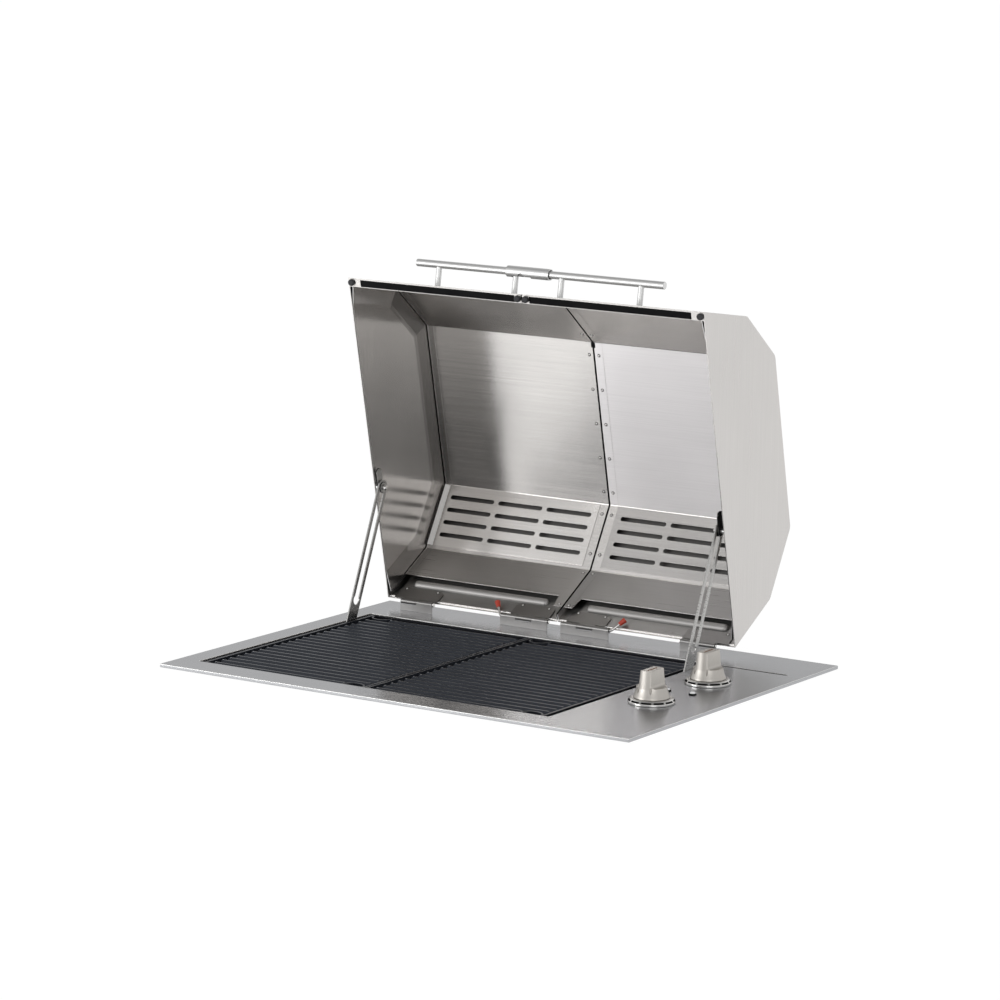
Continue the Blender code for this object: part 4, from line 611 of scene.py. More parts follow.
STEEL = (0.640, 0.622, 0.605)
BLACK = (0.004, 0.004, 0.0045)
RECIPES = (
    ("brushed_sheet", brushed_metal, {
        "flange": ("flange_steel", (0.410, 0.415, 0.427), 0.25, 0.85),
        "wrap": ("wrap_steel", STEEL, 0.24, 0.97),
        "side": ("side_steel", STEEL, 0.30, 0.80, "Z"),
        "panel": ("panel_steel", (0.70, 0.68, 0.66), 0.20, 0.70, "Z"),
        "fittings": ("fittings_steel", (0.24, 0.235, 0.23), 0.34, 0.0, "X", 0.03),
        # dark unpolished steel for the skin's inner faces, also standing in for the shade inside the hood
        "raw": ("raw_steel_and_painted_shade", (0.20, 0.195, 0.19), 0.50, 0.0, "X", 0.02),
        # painted highlight: a pale colour for bevels and edge faces, standing in for the light they catch
        "edge": ("painted_highlight_edge", (0.86, 0.855, 0.845), 0.34, 0.0, "X", 0.0),
        # painted shade: a dark band along the side panel's formed edge, and a lighter step where it fades
        "formed": ("formed_painted_shade_steel", (0.31, 0.297, 0.285), 0.24, 0.70, "Z"),
        "fade": ("fading_painted_shade_steel", (0.45, 0.434, 0.42), 0.24, 0.70, "Z"),
        # painted light: a paler, rougher copy of the steel for the right half's crown
        "crown": ("crown_painted_light_steel", (0.68, 0.662, 0.665), 0.36, 0.95),
        # painted light and shade: a paler copy of the steel for the left vent plate, a darker one for the right
        "vent": ("vent_painted_light_steel", (0.74, 0.72, 0.70), 0.24, 0.97),
        "right_vent": ("right_vent_painted_shade_steel", (0.50, 0.487, 0.475), 0.24, 0.97),
        # painted shade: darker copies of the steel for the rear walls' inner faces, darkest on the right half
        "dark_rear": ("dark_rear_painted_shade_steel", (0.31, 0.305, 0.30), 0.30, 0.90),
        "rear": ("rear_painted_shade_steel", (0.43, 0.42, 0.41), 0.30, 0.90),
        # painted shade: a darker, rougher copy of the steel for the front wall's outer face
        "front": ("front_painted_shade_steel", (0.50, 0.495, 0.485), 0.45, 0.5),
        # pale steel for lips and rivet heads, also used as a painted highlight line along the liner's end
        "lip": ("lip_steel_and_painted_highlight", (0.84, 0.825, 0.81), 0.42, 0.0, "X", 0.02),
        "arm": ("arm_steel", (0.44, 0.435, 0.425), 0.28, 0.0, "X", 0.03),
        "bead": ("bead_steel", (0.47, 0.46, 0.45), 0.55, 0.0, "X", 0.02),
        "bar": ("bar_steel", (0.79, 0.79, 0.785), 0.47),
    }),
    ("bright_metal", brushed_metal, {"bright": ("bright_steel", (0.70, 0.69, 0.67), 0.20, 0.0, "X", 0.02)}),
    ("knob_metal", brushed_metal, {"nickel": ("satin_nickel", (0.54, 0.515, 0.48), 0.42, 0.0, "Z", 0.03)}),
    ("plate_iron", cast_material, {
        "iron": ("seasoned_iron", (0.014, 0.016, 0.021), 0.34, 0.38),
        "rim": ("rim_iron", (0.006, 0.006, 0.008), 0.50, 0.15),
    }),
    # painted glint: pale iron patches on the ribs' ends
    ("plate_iron", brushed_metal, {"rib_glint": ("painted_glint_iron", (0.42, 0.43, 0.45), 0.45, 0.0, "X", 0.02)}),
    ("inner_sheet", brushed_metal, {"inner": ("aluminised", (0.48, 0.49, 0.50), 0.48, 0.0, "X", 0.02, 0.3)}),
    ("element_sheath", moulded_material, {"sheath": ("oxidised_sheath", (0.09, 0.09, 0.10), 0.45, 0.8)}),
    ("seal_rubber", moulded_material, {
        "rubber": ("black_rubber", BLACK, 0.75, 0.0, 0.10, 0.12),
        "bumper": ("bumper_rubber", (0.035, 0.035, 0.038), 0.55, 0.0, 0.10, 0.3),
    }),
    ("lamp_lens", moulded_material, {"lens": ("lamp_lens", (0.90, 0.90, 0.91), 0.12, 0.0, 0.0, 0.8)}),
    ("bright_metal", moulded_material, {"red": ("red_grip", (0.50, 0.055, 0.030), 0.42)}),
    ("fitting_plastic", moulded_material, {
        "plastic": ("grey_plastic", (0.16, 0.16, 0.17), 0.50),
        # black plastic for the lamp rims, also used as painted shade in slots, gaps and behind rivets and nuts
        "black": ("black_plastic_and_painted_shade", BLACK, 0.60, 0.0, 0.10, 0.12),
    }),
    ("knob_metal", moulded_material, {"pointer": ("pointer_paint", (0.26, 0.14, 0.08), 0.45)}),
)
FINISHES = {key: (slot, make(*recipe)) for slot, make, recipes in RECIPES for key, recipe in recipes.items()}


def dress(thing, name, finish, nodes=(), body=None, place=BASE, extra=()):
    """Put a drawn piece in its place, give it its finish and hang it on the body it moves with."""
    moved(thing, place)
    thing.name = thing.data.name = name
    slot, material = FINISHES[finish]
    finishes = [material] + [FINISHES[other][1] for other in extra]
    for index, choice in enumerate(finishes):
        thing.data.materials[index] = choice
    while len(thing.data.materials) > len(finishes):
        thing.data.materials.pop()
    thing.data.shade_smooth()
    thing.data.set_sharp_from_angle(angle=EDGE_ANGLE)
    modified(thing, "WEIGHTED_NORMAL", keep_sharp=True, weight=100)
    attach(thing, body or BODIES[nodes[0]])
    if nodes:
        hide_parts(*nodes)
    return thing


# Base
def flange():
    plate = block((0, 0, -FLANGE_EDGE), (FLANGE_WIDTH, FLANGE_DEPTH, 0))
    inside = block((FLANGE_SHEET, FLANGE_SHEET, -FLANGE_EDGE - OVERRUN),
                   (FLANGE_WIDTH - FLANGE_SHEET, FLANGE_DEPTH - FLANGE_SHEET, -FLANGE_SHEET))
    opening = softened(rectangle((OPENING_LEFT, OPENING_FRONT), (OPENING_RIGHT, OPENING_REAR)), OPENING_CORNER)
    centre = (KNOB_X + REAR_SLOT_SHIFT, OPENING_REAR - REAR_SLOT_INSET)
    slot = stadium(REAR_SLOT_LENGTH, REAR_SLOT_WIDTH, centre)
    holes = [prism(outline, -FLANGE_EDGE, OVERRUN, "Z") for outline in (opening, slot)]
    for places, radius in ((KNOB_PLACES, BUSH_HOLE), (LAMP_PLACES, LAMP_STEM_RADIUS + GAP)):
        for spot in places.values():
            holes.append(rod((spot.x, spot.y, -FLANGE_EDGE), (spot.x, spot.y, OVERRUN), radius, SMALL_ROUND))
    rounded(carve(plate, inside, group(*holes)), FLANGE_BEVEL, 3)
    # the flange's bevel faces take the pale edge colour, a painted highlight
    painted(plate, 1, lambda face: 0.2 < face.normal.z < 0.97)
    dress(plate, "flange", "flange", ["flange_plate"], extra=("edge",))
    shade = stadium(REAR_SLOT_LENGTH, REAR_SLOT_WIDTH - GAP, centre)
    dress(prism(shade, -FLANGE_SHEET, -FLANGE_SHEET / 4, "Z"), "slot_shade", "black", body="base")


def rib(left, right, y, valley, top):
    """A bar with sloped sides and ends."""
    levels = ((valley - PLATE_SLAB / 2, RIB_FOOT, 0), (valley, RIB_FOOT, 0), (top, RIB_TOP, RIB_END_SLOPE))
    return lofted([
        [(x, across, z) for x, across in rectangle((left + end, y - width / 2), (right - end, y + width / 2))]
        for z, width, end in levels
    ])


def cooking_plate(hand):
    """A slab with ribs inside a rim. Ribs stop at the wall of a half-round finger hole in two corners."""
    low, high = (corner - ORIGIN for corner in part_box("cooking_plate_" + hand))
    rim_top = high.z - PLATE_TOP_DROP
    top = rim_top - RIM_ABOVE_RIBS
    valley = top - RIB_HEIGHT
    bottom = valley - PLATE_SLAB
    left, right, front, rear = low.x + RIM_WIDTH, high.x - RIM_WIDTH, low.y + RIM_WIDTH, high.y - RIM_WIDTH
    plate = carve(block((low.x, low.y, bottom), (high.x, high.y, rim_top)),
                  block((left, front, valley), (right, rear, rim_top + OVERRUN)))
    corners = ((low.x + FINGER_HOLE_INSET, rear, math.pi), (high.x - FINGER_HOLE_INSET, front, 0.0))
    wall = FINGER_HOLE + FINGER_WALL
    count = int((rear - front) / RIB_PITCH)
    first = (low.y + high.y) / 2 - (count - 1) * RIB_PITCH / 2
    ribs, caps = [], []
    for i in range(count):
        y = first + i * RIB_PITCH
        near, far = left + RIB_END_GAP, right - RIB_END_GAP
        for x, edge, turn in corners:
            off = abs(y - edge) - RIB_FOOT / 2
            if off < wall:
                half = math.sqrt(wall ** 2 - max(off, 0) ** 2)
                near, far = (max(near, x + half), far) if turn else (near, min(far, x - half))
        ribs.append(rib(near, far, y, valley, top))
        # a pale cap on each rib's end is a painted glint
        cap = near + RIB_END_SLOPE
        caps.append(block((cap, y - RIB_TOP / 3, top - GAP), (cap + RIB_CAP, y + RIB_TOP / 3, top + GAP / 2)))

    def half_moons(radius, low_z, high_z):
        return group(*[prism(arc((x, y), radius, turn, math.pi), low_z, high_z, "Z") for x, y, turn in corners])

    fuse(plate, group(*ribs), half_moons(wall, bottom + GAP, top + GAP))
    rounded(carve(plate, half_moons(FINGER_HOLE, bottom - OVERRUN, OVERRUN)), PLATE_BEVEL, 3)
    painted(plate, 1, lambda face: not (left < face.center.x < right and front < face.center.y < rear))
    dress(plate, "grill_plate_" + hand, "iron", ["cooking_plate_" + hand], extra=("rim",))
    dress(group(*caps), "rib_end_glints_" + hand, "rib_glint", body="base")


# Controls
def knob_bezel(place, spot):
    """A raised ring around the knob's foot, with slots around its wall whose cut faces are painted black as shade.
    """
    ring = turned(
        [(BEZEL_BORE, GAP), (BEZEL_RADIUS, GAP), (BEZEL_RADIUS, BEZEL_SHOULDER),
         (BEZEL_TOP_RADIUS, BEZEL_HEIGHT), (BEZEL_BORE, BEZEL_HEIGHT)],
        (KNOB_X, spot.y, 0), sides=2 * ROUND,
    )
    rounded(ring, SOFT_EDGE, 3)
    step = 2 * math.pi / BEZEL_SLOTS
    slots = []
    for i in range(BEZEL_SLOTS):
        middle = (i + 0.5) * step + BEZEL_TURN
        outline = []
        for radius, way in ((BEZEL_SLOT_INNER, 1), (BEZEL_RADIUS + OVERRUN, -1)):
            half = way * (step - BEZEL_TICK / radius) / 2
            outline += arc((KNOB_X, spot.y), radius, middle - half, 2 * half, BEZEL_ARC_STEPS)
        slots.append(prism(outline, BEZEL_SLOT_LOW, BEZEL_SLOT_HIGH, "Z"))
    # the slots' cut faces take black, painted shade
    carve(ring, painted(group(*slots), 1))
    dress(ring, "dial_ring_" + place, "bright", ["knob_bezel_" + place], extra=("black",))


def knob(place, spot):
    """A turned body with a flared skirt, cut down on both sides to leave a blade, with a pointer on top."""
    low, top = KNOB_LIFT, KNOB_LIFT + KNOB_HEIGHT
    ledge = low + KNOB_LEDGE_HEIGHT
    outside = KNOB_SKIRT_RADIUS + OVERRUN
    skirt = BEZEL_HEIGHT + KNOB_SKIRT_LIFT
    shares = [i / ARC_STEPS for i in range(ARC_STEPS + 1)]
    flare = [
        (KNOB_LEDGE_RADIUS + (KNOB_SKIRT_RADIUS - KNOB_LEDGE_RADIUS) * (1 - share) ** KNOB_FLARE_CURVE,
         skirt + KNOB_SKIRT_EDGE + (ledge - skirt - KNOB_SKIRT_EDGE) * share)
        for share in shares
    ]
    body = turned([(0, low), (KNOB_BASE_RADIUS, low), (KNOB_BASE_RADIUS, skirt), (KNOB_SKIRT_RADIUS, skirt)]
                  + flare + [(KNOB_TOP_RADIUS, top), (0, top)], sides=2 * ROUND)
    foot = BLADE_FOOT_WIDTH / 2
    outline = [(BLADE_TOP_WIDTH / 2, top + OVERRUN)]
    outline += arc((foot + BLADE_FILLET, ledge + BLADE_FILLET), -BLADE_FILLET, 0, math.pi / 2, ARC_STEPS)
    outline += [(outside, ledge), (outside, top + OVERRUN)]
    reach = math.sqrt(KNOB_BASE_RADIUS ** 2 - foot ** 2)
    lean = (KNOB_BASE_RADIUS - KNOB_LEDGE_RADIUS) / KNOB_LEDGE_HEIGHT
    flanks, grooves = [], []
    for side in (-1, 1):
        flanks.append(prism([(side * x, z) for x, z in outline], -outside, outside, "Y"))
        for end in (-1, 1):
            finish = (side * foot, end * (reach - lean * (ledge - low + OVERRUN)), ledge + KNOB_GROOVE)
            grooves.append(rod((side * foot, end * reach, low - OVERRUN), finish, KNOB_GROOVE, SMALL_ROUND))
    pointer = prism(stadium(POINTER_LENGTH, POINTER_WIDTH), top - POINTER_DEPTH, top + OVERRUN, "Z")
    moved(pointer, Matrix.Rotation(math.pi / 2, 4, "Z"))
    carve(body, group(*flanks), group(*grooves))
    rounded(body, KNOB_EDGE, 3, KNOB_EDGE_ANGLE)
    carve(body, painted(pointer, 1))
    centre = Matrix.Translation(ORIGIN + spot)
    dress(body, "turn_knob_" + place, "nickel", ["knob_" + place], place=centre, extra=("pointer",))


def indicator_lamp(hand, spot):
    """A stem held by a nut under the flange, with a black rim and a pale dome above it."""
    nut_top, rim_top = -FLANGE_SHEET - GAP, GAP + LAMP_RIM
    rim = turned([
        (0, -LAMP_STEM), (LAMP_STEM_RADIUS, -LAMP_STEM), (LAMP_STEM_RADIUS, nut_top - LAMP_NUT),
        (LAMP_NUT_RADIUS, nut_top - LAMP_NUT), (LAMP_NUT_RADIUS, nut_top), (LAMP_STEM_RADIUS, nut_top),
        (LAMP_STEM_RADIUS, GAP), (LAMP_RADIUS, GAP), (LAMP_RADIUS, GAP + LAMP_RIM / 2),
        (LAMP_RADIUS - LAMP_RIM / 2, rim_top), (0, rim_top),
    ], (spot.x, spot.y, 0))
    dress(rim, "lamp_rim_" + hand, "black", ["indicator_lamp_" + hand])
    profile = dome(LAMP_RADIUS - LAMP_RIM * 4 / 5, LAMP_DOME - LAMP_RIM, rim_top)
    lens = turned([(0, rim_top)] + profile + [(0, GAP + LAMP_DOME)], (spot.x, spot.y, 0))
    dress(lens, "lamp_dome_" + hand, "lens", body="base")


# Hood geometry
def to_lid(forward, up):
    """The closed hood's Y and Z of a spot ahead of its rear rim and above it."""
    return (HINGE_AHEAD_OF_RIM - forward, HINGE_BELOW_RIM + up)


def offset_corner(first, corner, last, inset):
    ways = [(corner - first).normalized(), (last - corner).normalized()]
    inward = [Vector((way.y, -way.x)) for way in ways]
    half = (inward[0] + inward[1]).normalized()
    return corner + half * (inset / half.dot(inward[0]))


def lid_outline(inset, floor=0.0):
    """The hood's outline moved inwards, with round bends, from the rear rim to the front rim."""
    corners = [Vector(corner) for corner in LID_CORNERS]
    points = [offset_corner(*corners[i - 1:i + 2], inset) for i in range(1, len(corners) - 1)]
    ends = []
    for wall, near in ((REAR_WALL, points[0]), (FRONT_WALL, points[-1])):
        way = corners[wall + 1] - corners[wall]
        ends.append(near + way * ((floor - near.y) / way.y))
    radius = max(BEND_RADIUS, BEND_RADIUS + LINER_INSET - inset)
    return softened([to_lid(*point) for point in (ends[0], *points, ends[1])], radius, closed=False)


def inner_outline(inset):
    """The same for what stands just inside the skin."""
    return lid_outline(inset, JUST_INSIDE)


def wall_matrix(wall, depth):
    """Carries X, distance along a wall from its rear corner and depth inside it to the hood."""
    start, end = (Vector((0, *to_lid(*LID_CORNERS[i]))) for i in (wall, wall + 1))
    along = (end - start).normalized()
    inward = Vector((0, -along.z, along.y))
    origin = start + inward * depth
    return Matrix((
        (1, 0, 0, 0), (0, along.y, inward.y, origin.y), (0, along.z, inward.z, origin.z), (0, 0, 0, 1),
    ))


def facing(wall, way=1):
    """A test for the faces that look the way a wall's inner face does, or with -1 its outer face."""
    inward = wall_matrix(wall, 0).to_3x3() @ Vector((0, 0, 1))
    return lambda face: way * face.normal.dot(inward) > SAME_WAY


def on_hood(thing, name, finish, hand, node="", body="hood", inner=Matrix(), extra=()):
    """Dress a piece of a hood half, drawn in the closed hood's axes or in those of a wall."""
    nodes = [node + "_" + hand] if node else []
    place = sided(HINGE, hand, OPEN_ANGLE) @ inner
    dress(thing, name + "_" + hand, finish, nodes, None if nodes else body + "_" + hand, place, extra)


WALL_LENGTHS = [math.dist(*ends) for ends in zip(LID_CORNERS, LID_CORNERS[1:])]
JUST_INSIDE = SKIN + GAP
SIDE_FACE = LID_SPAN - SIDE_INSET
WRAP_FAR = SIDE_FACE + SIDE_PANEL_BACK - SIDE_FORMED_RISE - SIDE_JOINT
# the halves take lit and shaded copies of the steel: painted shade on the rear walls, darker on the right, and a
# painted lighter crown on the right
WRAP_EXTRAS = {"left": ("rear", "wrap"), "right": ("dark_rear", "crown")}
# the vent plates take a lit copy of the steel on the left, painted light, and a shaded copy on the right, painted
# shade
VENT_PAINTED_LIGHT = {"left": "vent", "right": "right_vent"}
VENT_FAR = LID_SPAN - VENT_SIDE_MARGIN
VENT_HIGH = WALL_LENGTHS[REAR_SHOULDER] - VENT_BORDER_HIGH
SEAL_Y = to_lid(LID_DEPTH - SEAL_CENTRE_INSET, 0)[0]
BUMPER_Y = to_lid(LID_DEPTH - BUMPER_CENTRE_INSET, 0)[0]
BUMPER_PLACES = (SEAM_HALF_GAP + BUMPER_SIDE_INSET, LID_SPAN - BUMPER_SIDE_INSET)
TAB_LOW, TAB_END, TAB_EDGE = (to_lid(0, up)[1] for up in (-OVERRUN, LINER_TAB_END, LINER_REAR_EDGE))
TAB_REACH = (to_lid(LID_CORNERS[2][0] / 2, 0)[0], to_lid(-LINER_INSET, 0)[0])
STUD = to_lid(STAY_PIN_FORWARD, STAY_PIN_RISE)
STAY_X = (OPENING_RIGHT - OPENING_LEFT) / 2 - STAY_EDGE_CLEARANCE


# Hood halves
def seal_outline(shrink):
    near, far = SEAM_HALF_GAP + SEAL_SEAM_MARGIN + shrink, LID_SPAN - SEAL_SIDE_MARGIN - shrink
    half = SEAL_WIDTH / 2 - shrink
    return softened(rectangle((near, SEAL_Y - half), (far, SEAL_Y + half)), SEAL_CORNER)


def hood_skin(hand):
    """The side's outer face is marked 1, its inner face and the one behind the vents 2 with dark steel that is
    partly painted shade; the front wall's outer face 3 and the rear wall's inner face 4 are painted shade, the
    side's underside 5 a painted highlight.
    """
    body = prism(lid_outline(0), SEAM_HALF_GAP, LID_SPAN)
    inside = prism(lid_outline(SKIN, SKIN), -OVERRUN, LID_SPAN - SKIN)
    rear_y = lid_outline(SKIN)[0][0]
    front_y = to_lid(LID_DEPTH, 0)[0] + RIM_FOLD
    under, over = HINGE_BELOW_RIM - OVERRUN, HINGE_BELOW_RIM + SKIN + OVERRUN
    mouth = block((-OVERRUN, front_y, under), (LID_SPAN - SKIN - GAP, rear_y, over))
    slots = [prism(seal_outline(0), under, over, "Z")]
    for x in BUMPER_PLACES:
        slots.append(rod((x, BUMPER_Y, under), (x, BUMPER_Y, over), BUMPER_STEM_RADIUS + GAP, SMALL_ROUND))
    rounded(carve(body, inside, mouth, group(*slots)), SMALL_EDGE, angle=STEEP_ANGLE)
    # faces 2 to 5 take darker or paler steel: painted shade on the walls, partly painted shade behind the vents, a
    # painted highlight on the side's underside
    painted(body, 5, lambda face: face.normal.z < DOWNWARDS and face.center.x > SIDE_FACE)
    painted(body, 4, facing(REAR_WALL))
    painted(body, 3, facing(FRONT_WALL, -1))
    painted(body, 2, facing(REAR_SHOULDER))
    painted(body, 2, lambda face: face.normal.x < -SIDEWAYS and face.center.x > LID_SPAN / 2)
    painted(body, 1, lambda face: face.normal.x > SIDEWAYS)
    on_hood(body, "hood_shell", "wrap", hand, "hood_skin", extra=("side", "raw", "front", "dark_rear", "edge"))


def sheet_ring(outer, inner):
    return inner_outline(outer) + inner_outline(inner)[::-1]


def side_panel():
    """A flat sheet whose formed edge rises towards the wrapped sheet; that edge's faces marked 1 and 3 carry a
    band of painted shade, lighter at 3.
    """
    shape = bmesh.new()
    loops = []
    for sheet in (0, LINER_SHEET):
        for inset in (-LINER_SHEET, SIDE_FORMED_WIDTH - SIDE_FORMED_FADE, SIDE_FORMED_WIDTH):
            rise = SIDE_FORMED_RISE * (1 - max(inset, 0) / SIDE_FORMED_WIDTH)
            x = SIDE_FACE + SIDE_PANEL_BACK - rise + sheet
            loops.append([shape.verts.new((x, y, z)) for y, z in inner_outline(LINER_INSET + inset)])
    last = len(loops[0]) - 1
    for outer, inner, index in ((0, 1, 1), (1, 2, 3), (3, 4, 1), (4, 5, 3)):
        rim, middle = loops[outer], loops[inner]
        for i in range(last):
            face = shape.faces.new((rim[i], rim[i + 1], middle[i + 1], middle[i]))
            # the formed edge's faces get the painted shade band, the rear third only its lighter fading part
            face.material_index = 3 if i < (last + 1) // 3 else 0 if i == last - 1 else index
    for middle in (loops[2], loops[5]):
        shape.faces.new(middle)
    for i in range(last):
        shape.faces.new((loops[0][i], loops[0][i + 1], loops[3][i + 1], loops[3][i]))
    for end in (0, -1):
        for ring in (0, 1):
            shape.faces.new([loops[turn][end] for turn in (ring, ring + 1, ring + 4, ring + 3)])
    shape.faces.new((loops[2][0], loops[2][-1], loops[5][-1], loops[5][0]))
    return to_object(shape)


def rear_cut():
    """What the liner leaves open at the rear rim, beside the tab at the seam."""
    tab, far = SEAM_HALF_GAP + LINER_TAB, SIDE_FACE + OVERRUN
    return prism([
        (-OVERRUN, TAB_LOW), (-OVERRUN, TAB_END), (tab, TAB_END), (tab + LINER_TAB_SLANT, TAB_EDGE),
        (far, TAB_EDGE), (far, TAB_LOW),
    ], *TAB_REACH, "Y")


def hood_liner(hand):
    """The wrapped sheet and, past a narrow dark joint, the side panel with the stay's stud."""
    near = SEAM_HALF_GAP + CHANNEL_SHEET + GAP
    wrap = prism(sheet_ring(LINER_INSET - LINER_SHEET, LINER_INSET), near, WRAP_FAR)
    far, face = WRAP_FAR - GAP, LINER_INSET + END_STRIP_SHEET
    fuse(wrap, prism(sheet_ring(LINER_INSET - GAP, face), far - END_STRIP_WIDTH, far))
    # a thin pale strip along the wrap's end, a painted highlight line
    line = prism(sheet_ring(face, face + GAP / 2), far - END_HIGHLIGHT_WIDTH, far)
    on_hood(carve(line, rear_cut()), "liner_edge_highlight", "lip", hand)
    border = VENT_WINDOW_BORDER
    window = block(
        (SEAM_HALF_GAP + CHANNEL_WIDTH + border, VENT_BORDER_LOW + border, -LINER_INSET / 2),
        (VENT_FAR - border, VENT_HIGH - border, LINER_INSET / 2),
    )
    carve(wrap, rear_cut(), moved(window, wall_matrix(REAR_SHOULDER, LINER_INSET)))
    rounded(wrap, FINE_EDGE, angle=STEEP_ANGLE)
    # the rear wall and crown take the hand's copies of the steel, painted shade and painted light
    painted(wrap, 1, facing(REAR_WALL))
    painted(wrap, 2, facing(CROWN))
    on_hood(wrap, "liner_wrap", "wrap", hand, "hood_liner", extra=WRAP_EXTRAS[hand])
    stud_end = (SIDE_FACE + SIDE_PANEL_BACK + LINER_SHEET / 2, *STUD)
    panel = fuse(side_panel(), rod((STAY_X + GAP, *STUD), stud_end, STAY_STUD_RADIUS, SMALL_ROUND))
    rounded(panel, FINE_EDGE, angle=STEEP_ANGLE)
    # the panel's downward faces take the pale edge colour, a painted highlight
    painted(panel, 2, lambda face: face.normal.z < DOWNWARDS)
    on_hood(panel, "liner_side", "panel", hand, extra=("formed", "edge", "fade"))
    near = STAY_X + STUD_PLATE_CLEARANCE
    centre = (STUD[0] - (STUD_PLATE_REACH - STUD_PLATE_WIDTH / 2) / 2, STUD[1])
    for name, finish, grown, start in (("stud_plate", "arm", 0, near),
                                       ("stud_shade", "black", STAY_OUTLINE, near + STUD_PLATE_SHEET)):
        length = STUD_PLATE_REACH + STUD_PLATE_WIDTH / 2 + 2 * grown
        outline = stadium(length, STUD_PLATE_WIDTH + 2 * grown, centre)
        plate = prism(outline, start, start + STUD_PLATE_SHEET)
        on_hood(rounded(plate, THIN_EDGE), name, finish, hand)


def vent_panel(hand):
    """A slotted sheet over the liner's window, with a raised lip along its side."""
    near, top = SEAM_HALF_GAP + CHANNEL_WIDTH + GAP, GAP + VENT_SHEET
    panel = block((near, VENT_BORDER_LOW, GAP), (VENT_FAR, VENT_HIGH, top))
    slots = []
    for column in range(VENT_COLUMNS):
        x = VENT_FIRST_COLUMN + column * VENT_COLUMN_PITCH + VENT_SLOT_LENGTH / 2
        for row in range(VENT_ROWS):
            outline = stadium(VENT_SLOT_LENGTH, VENT_SLOT_HEIGHT, (x, VENT_FIRST_ROW + row * VENT_ROW_PITCH))
            slots.append(prism(outline, -OVERRUN, top + OVERRUN, "Z"))
    carve(panel, group(*slots))
    start, end = VENT_FAR + VENT_LIP_GAP, min(VENT_FAR + VENT_LIP_WIDTH, SIDE_FACE - SIDE_JOINT)
    lip = prism([(start, GAP), (end, GAP + VENT_LIP_RISE), (end, top + VENT_LIP_RISE), (start, top)],
                VENT_BORDER_LOW, VENT_HIGH, "Y")
    inner = wall_matrix(REAR_SHOULDER, LINER_INSET)
    on_hood(rounded(lip, THIN_EDGE), "vent_lip", "lip", hand, inner=inner)
    on_hood(rounded(panel, THIN_EDGE), "vent_plate", VENT_PAINTED_LIGHT[hand], hand, "vent_panel", inner=inner)


def rivet_head(x, along, wall, depth):
    """A low domed head on a black disc of painted shadow, on a face at a depth inside a wall."""
    profile = [(0, -GAP), (RIVET_RADIUS, -GAP)] + dome(RIVET_RADIUS, RIVET_HEIGHT, steps=BEND_STEPS)
    head = turned(profile + [(0, RIVET_HEIGHT)], (x, along, 0))
    far = RIVET_RADIUS + RIVET_SHADOW_RING
    ring = turned([(0, -GAP), (far, -GAP), (far, GAP / 2), (0, GAP / 2)], (x, along, 0))
    return moved(group(head, painted(ring, 1)), wall_matrix(wall, depth))


def seam_channel(hand):
    """A folded strip along the seam, with its rivets; its seam-facing faces and a patch at the crown's front end
    are painted black as shade.
    """
    lap = LINER_INSET + GAP / 5
    top = lap + STRIP_SHEET
    seam, web_far, far = SEAM_HALF_GAP, SEAM_HALF_GAP + CHANNEL_SHEET, SEAM_HALF_GAP + CHANNEL_WIDTH
    profile = (
        (seam, JUST_INSIDE), (web_far, JUST_INSIDE), (web_far, lap), (far, lap), (far, top),
        (seam + SEAM_EDGE, top), (seam, top - SEAM_EDGE),
    )
    lines = [[(x, y, z) for y, z in inner_outline(inset)] for x, inset in profile]
    channel = lofted(zip(*lines))
    painted(channel, 1, facing(REAR_WALL))
    painted(channel, 2, facing(CROWN))
    # faces towards the seam take black, painted shade in the gap
    painted(channel, 3, lambda face: face.normal.x < SEAMWARDS)
    carve(channel, block((web_far, TAB_REACH[0], TAB_LOW), (far + OVERRUN, TAB_REACH[1], TAB_END)))
    crown_first = (WALL_LENGTHS[CROWN] - (CROWN_RIVETS - 1) * CROWN_RIVET_PITCH) / 2
    crown = [crown_first + i * CROWN_RIVET_PITCH for i in range(CROWN_RIVETS)]
    heads = [
        rivet_head(SEAM_HALF_GAP + RIVET_SEAM_INSET, along, wall, top)
        for wall, places in ((REAR_WALL, REAR_WALL_RIVETS), (REAR_SHOULDER, REAR_SHOULDER_RIVETS),
                             (CROWN, crown), (FRONT_SHOULDER, FRONT_SHOULDER_RIVETS))
        for along in places
    ]
    # a thin black patch, painted shadow where the seam's bend relief would be
    relief_shade = block((seam / 2, WALL_LENGTHS[CROWN] - SEAM_RELIEF_SHADE_LENGTH, top - GAP),
                   (seam + SEAM_RELIEF_SHADE_WIDTH, WALL_LENGTHS[CROWN] - BEND_RADIUS, top + GAP / 2))
    heads.append(moved(painted(relief_shade, 1), wall_matrix(CROWN, 0)))
    on_hood(channel, "seam_strip", "wrap", hand, "seam_channel", extra=(*WRAP_EXTRAS[hand], "black"))
    on_hood(group(*heads), "seam_rivets", "lip", hand, extra=("black",))


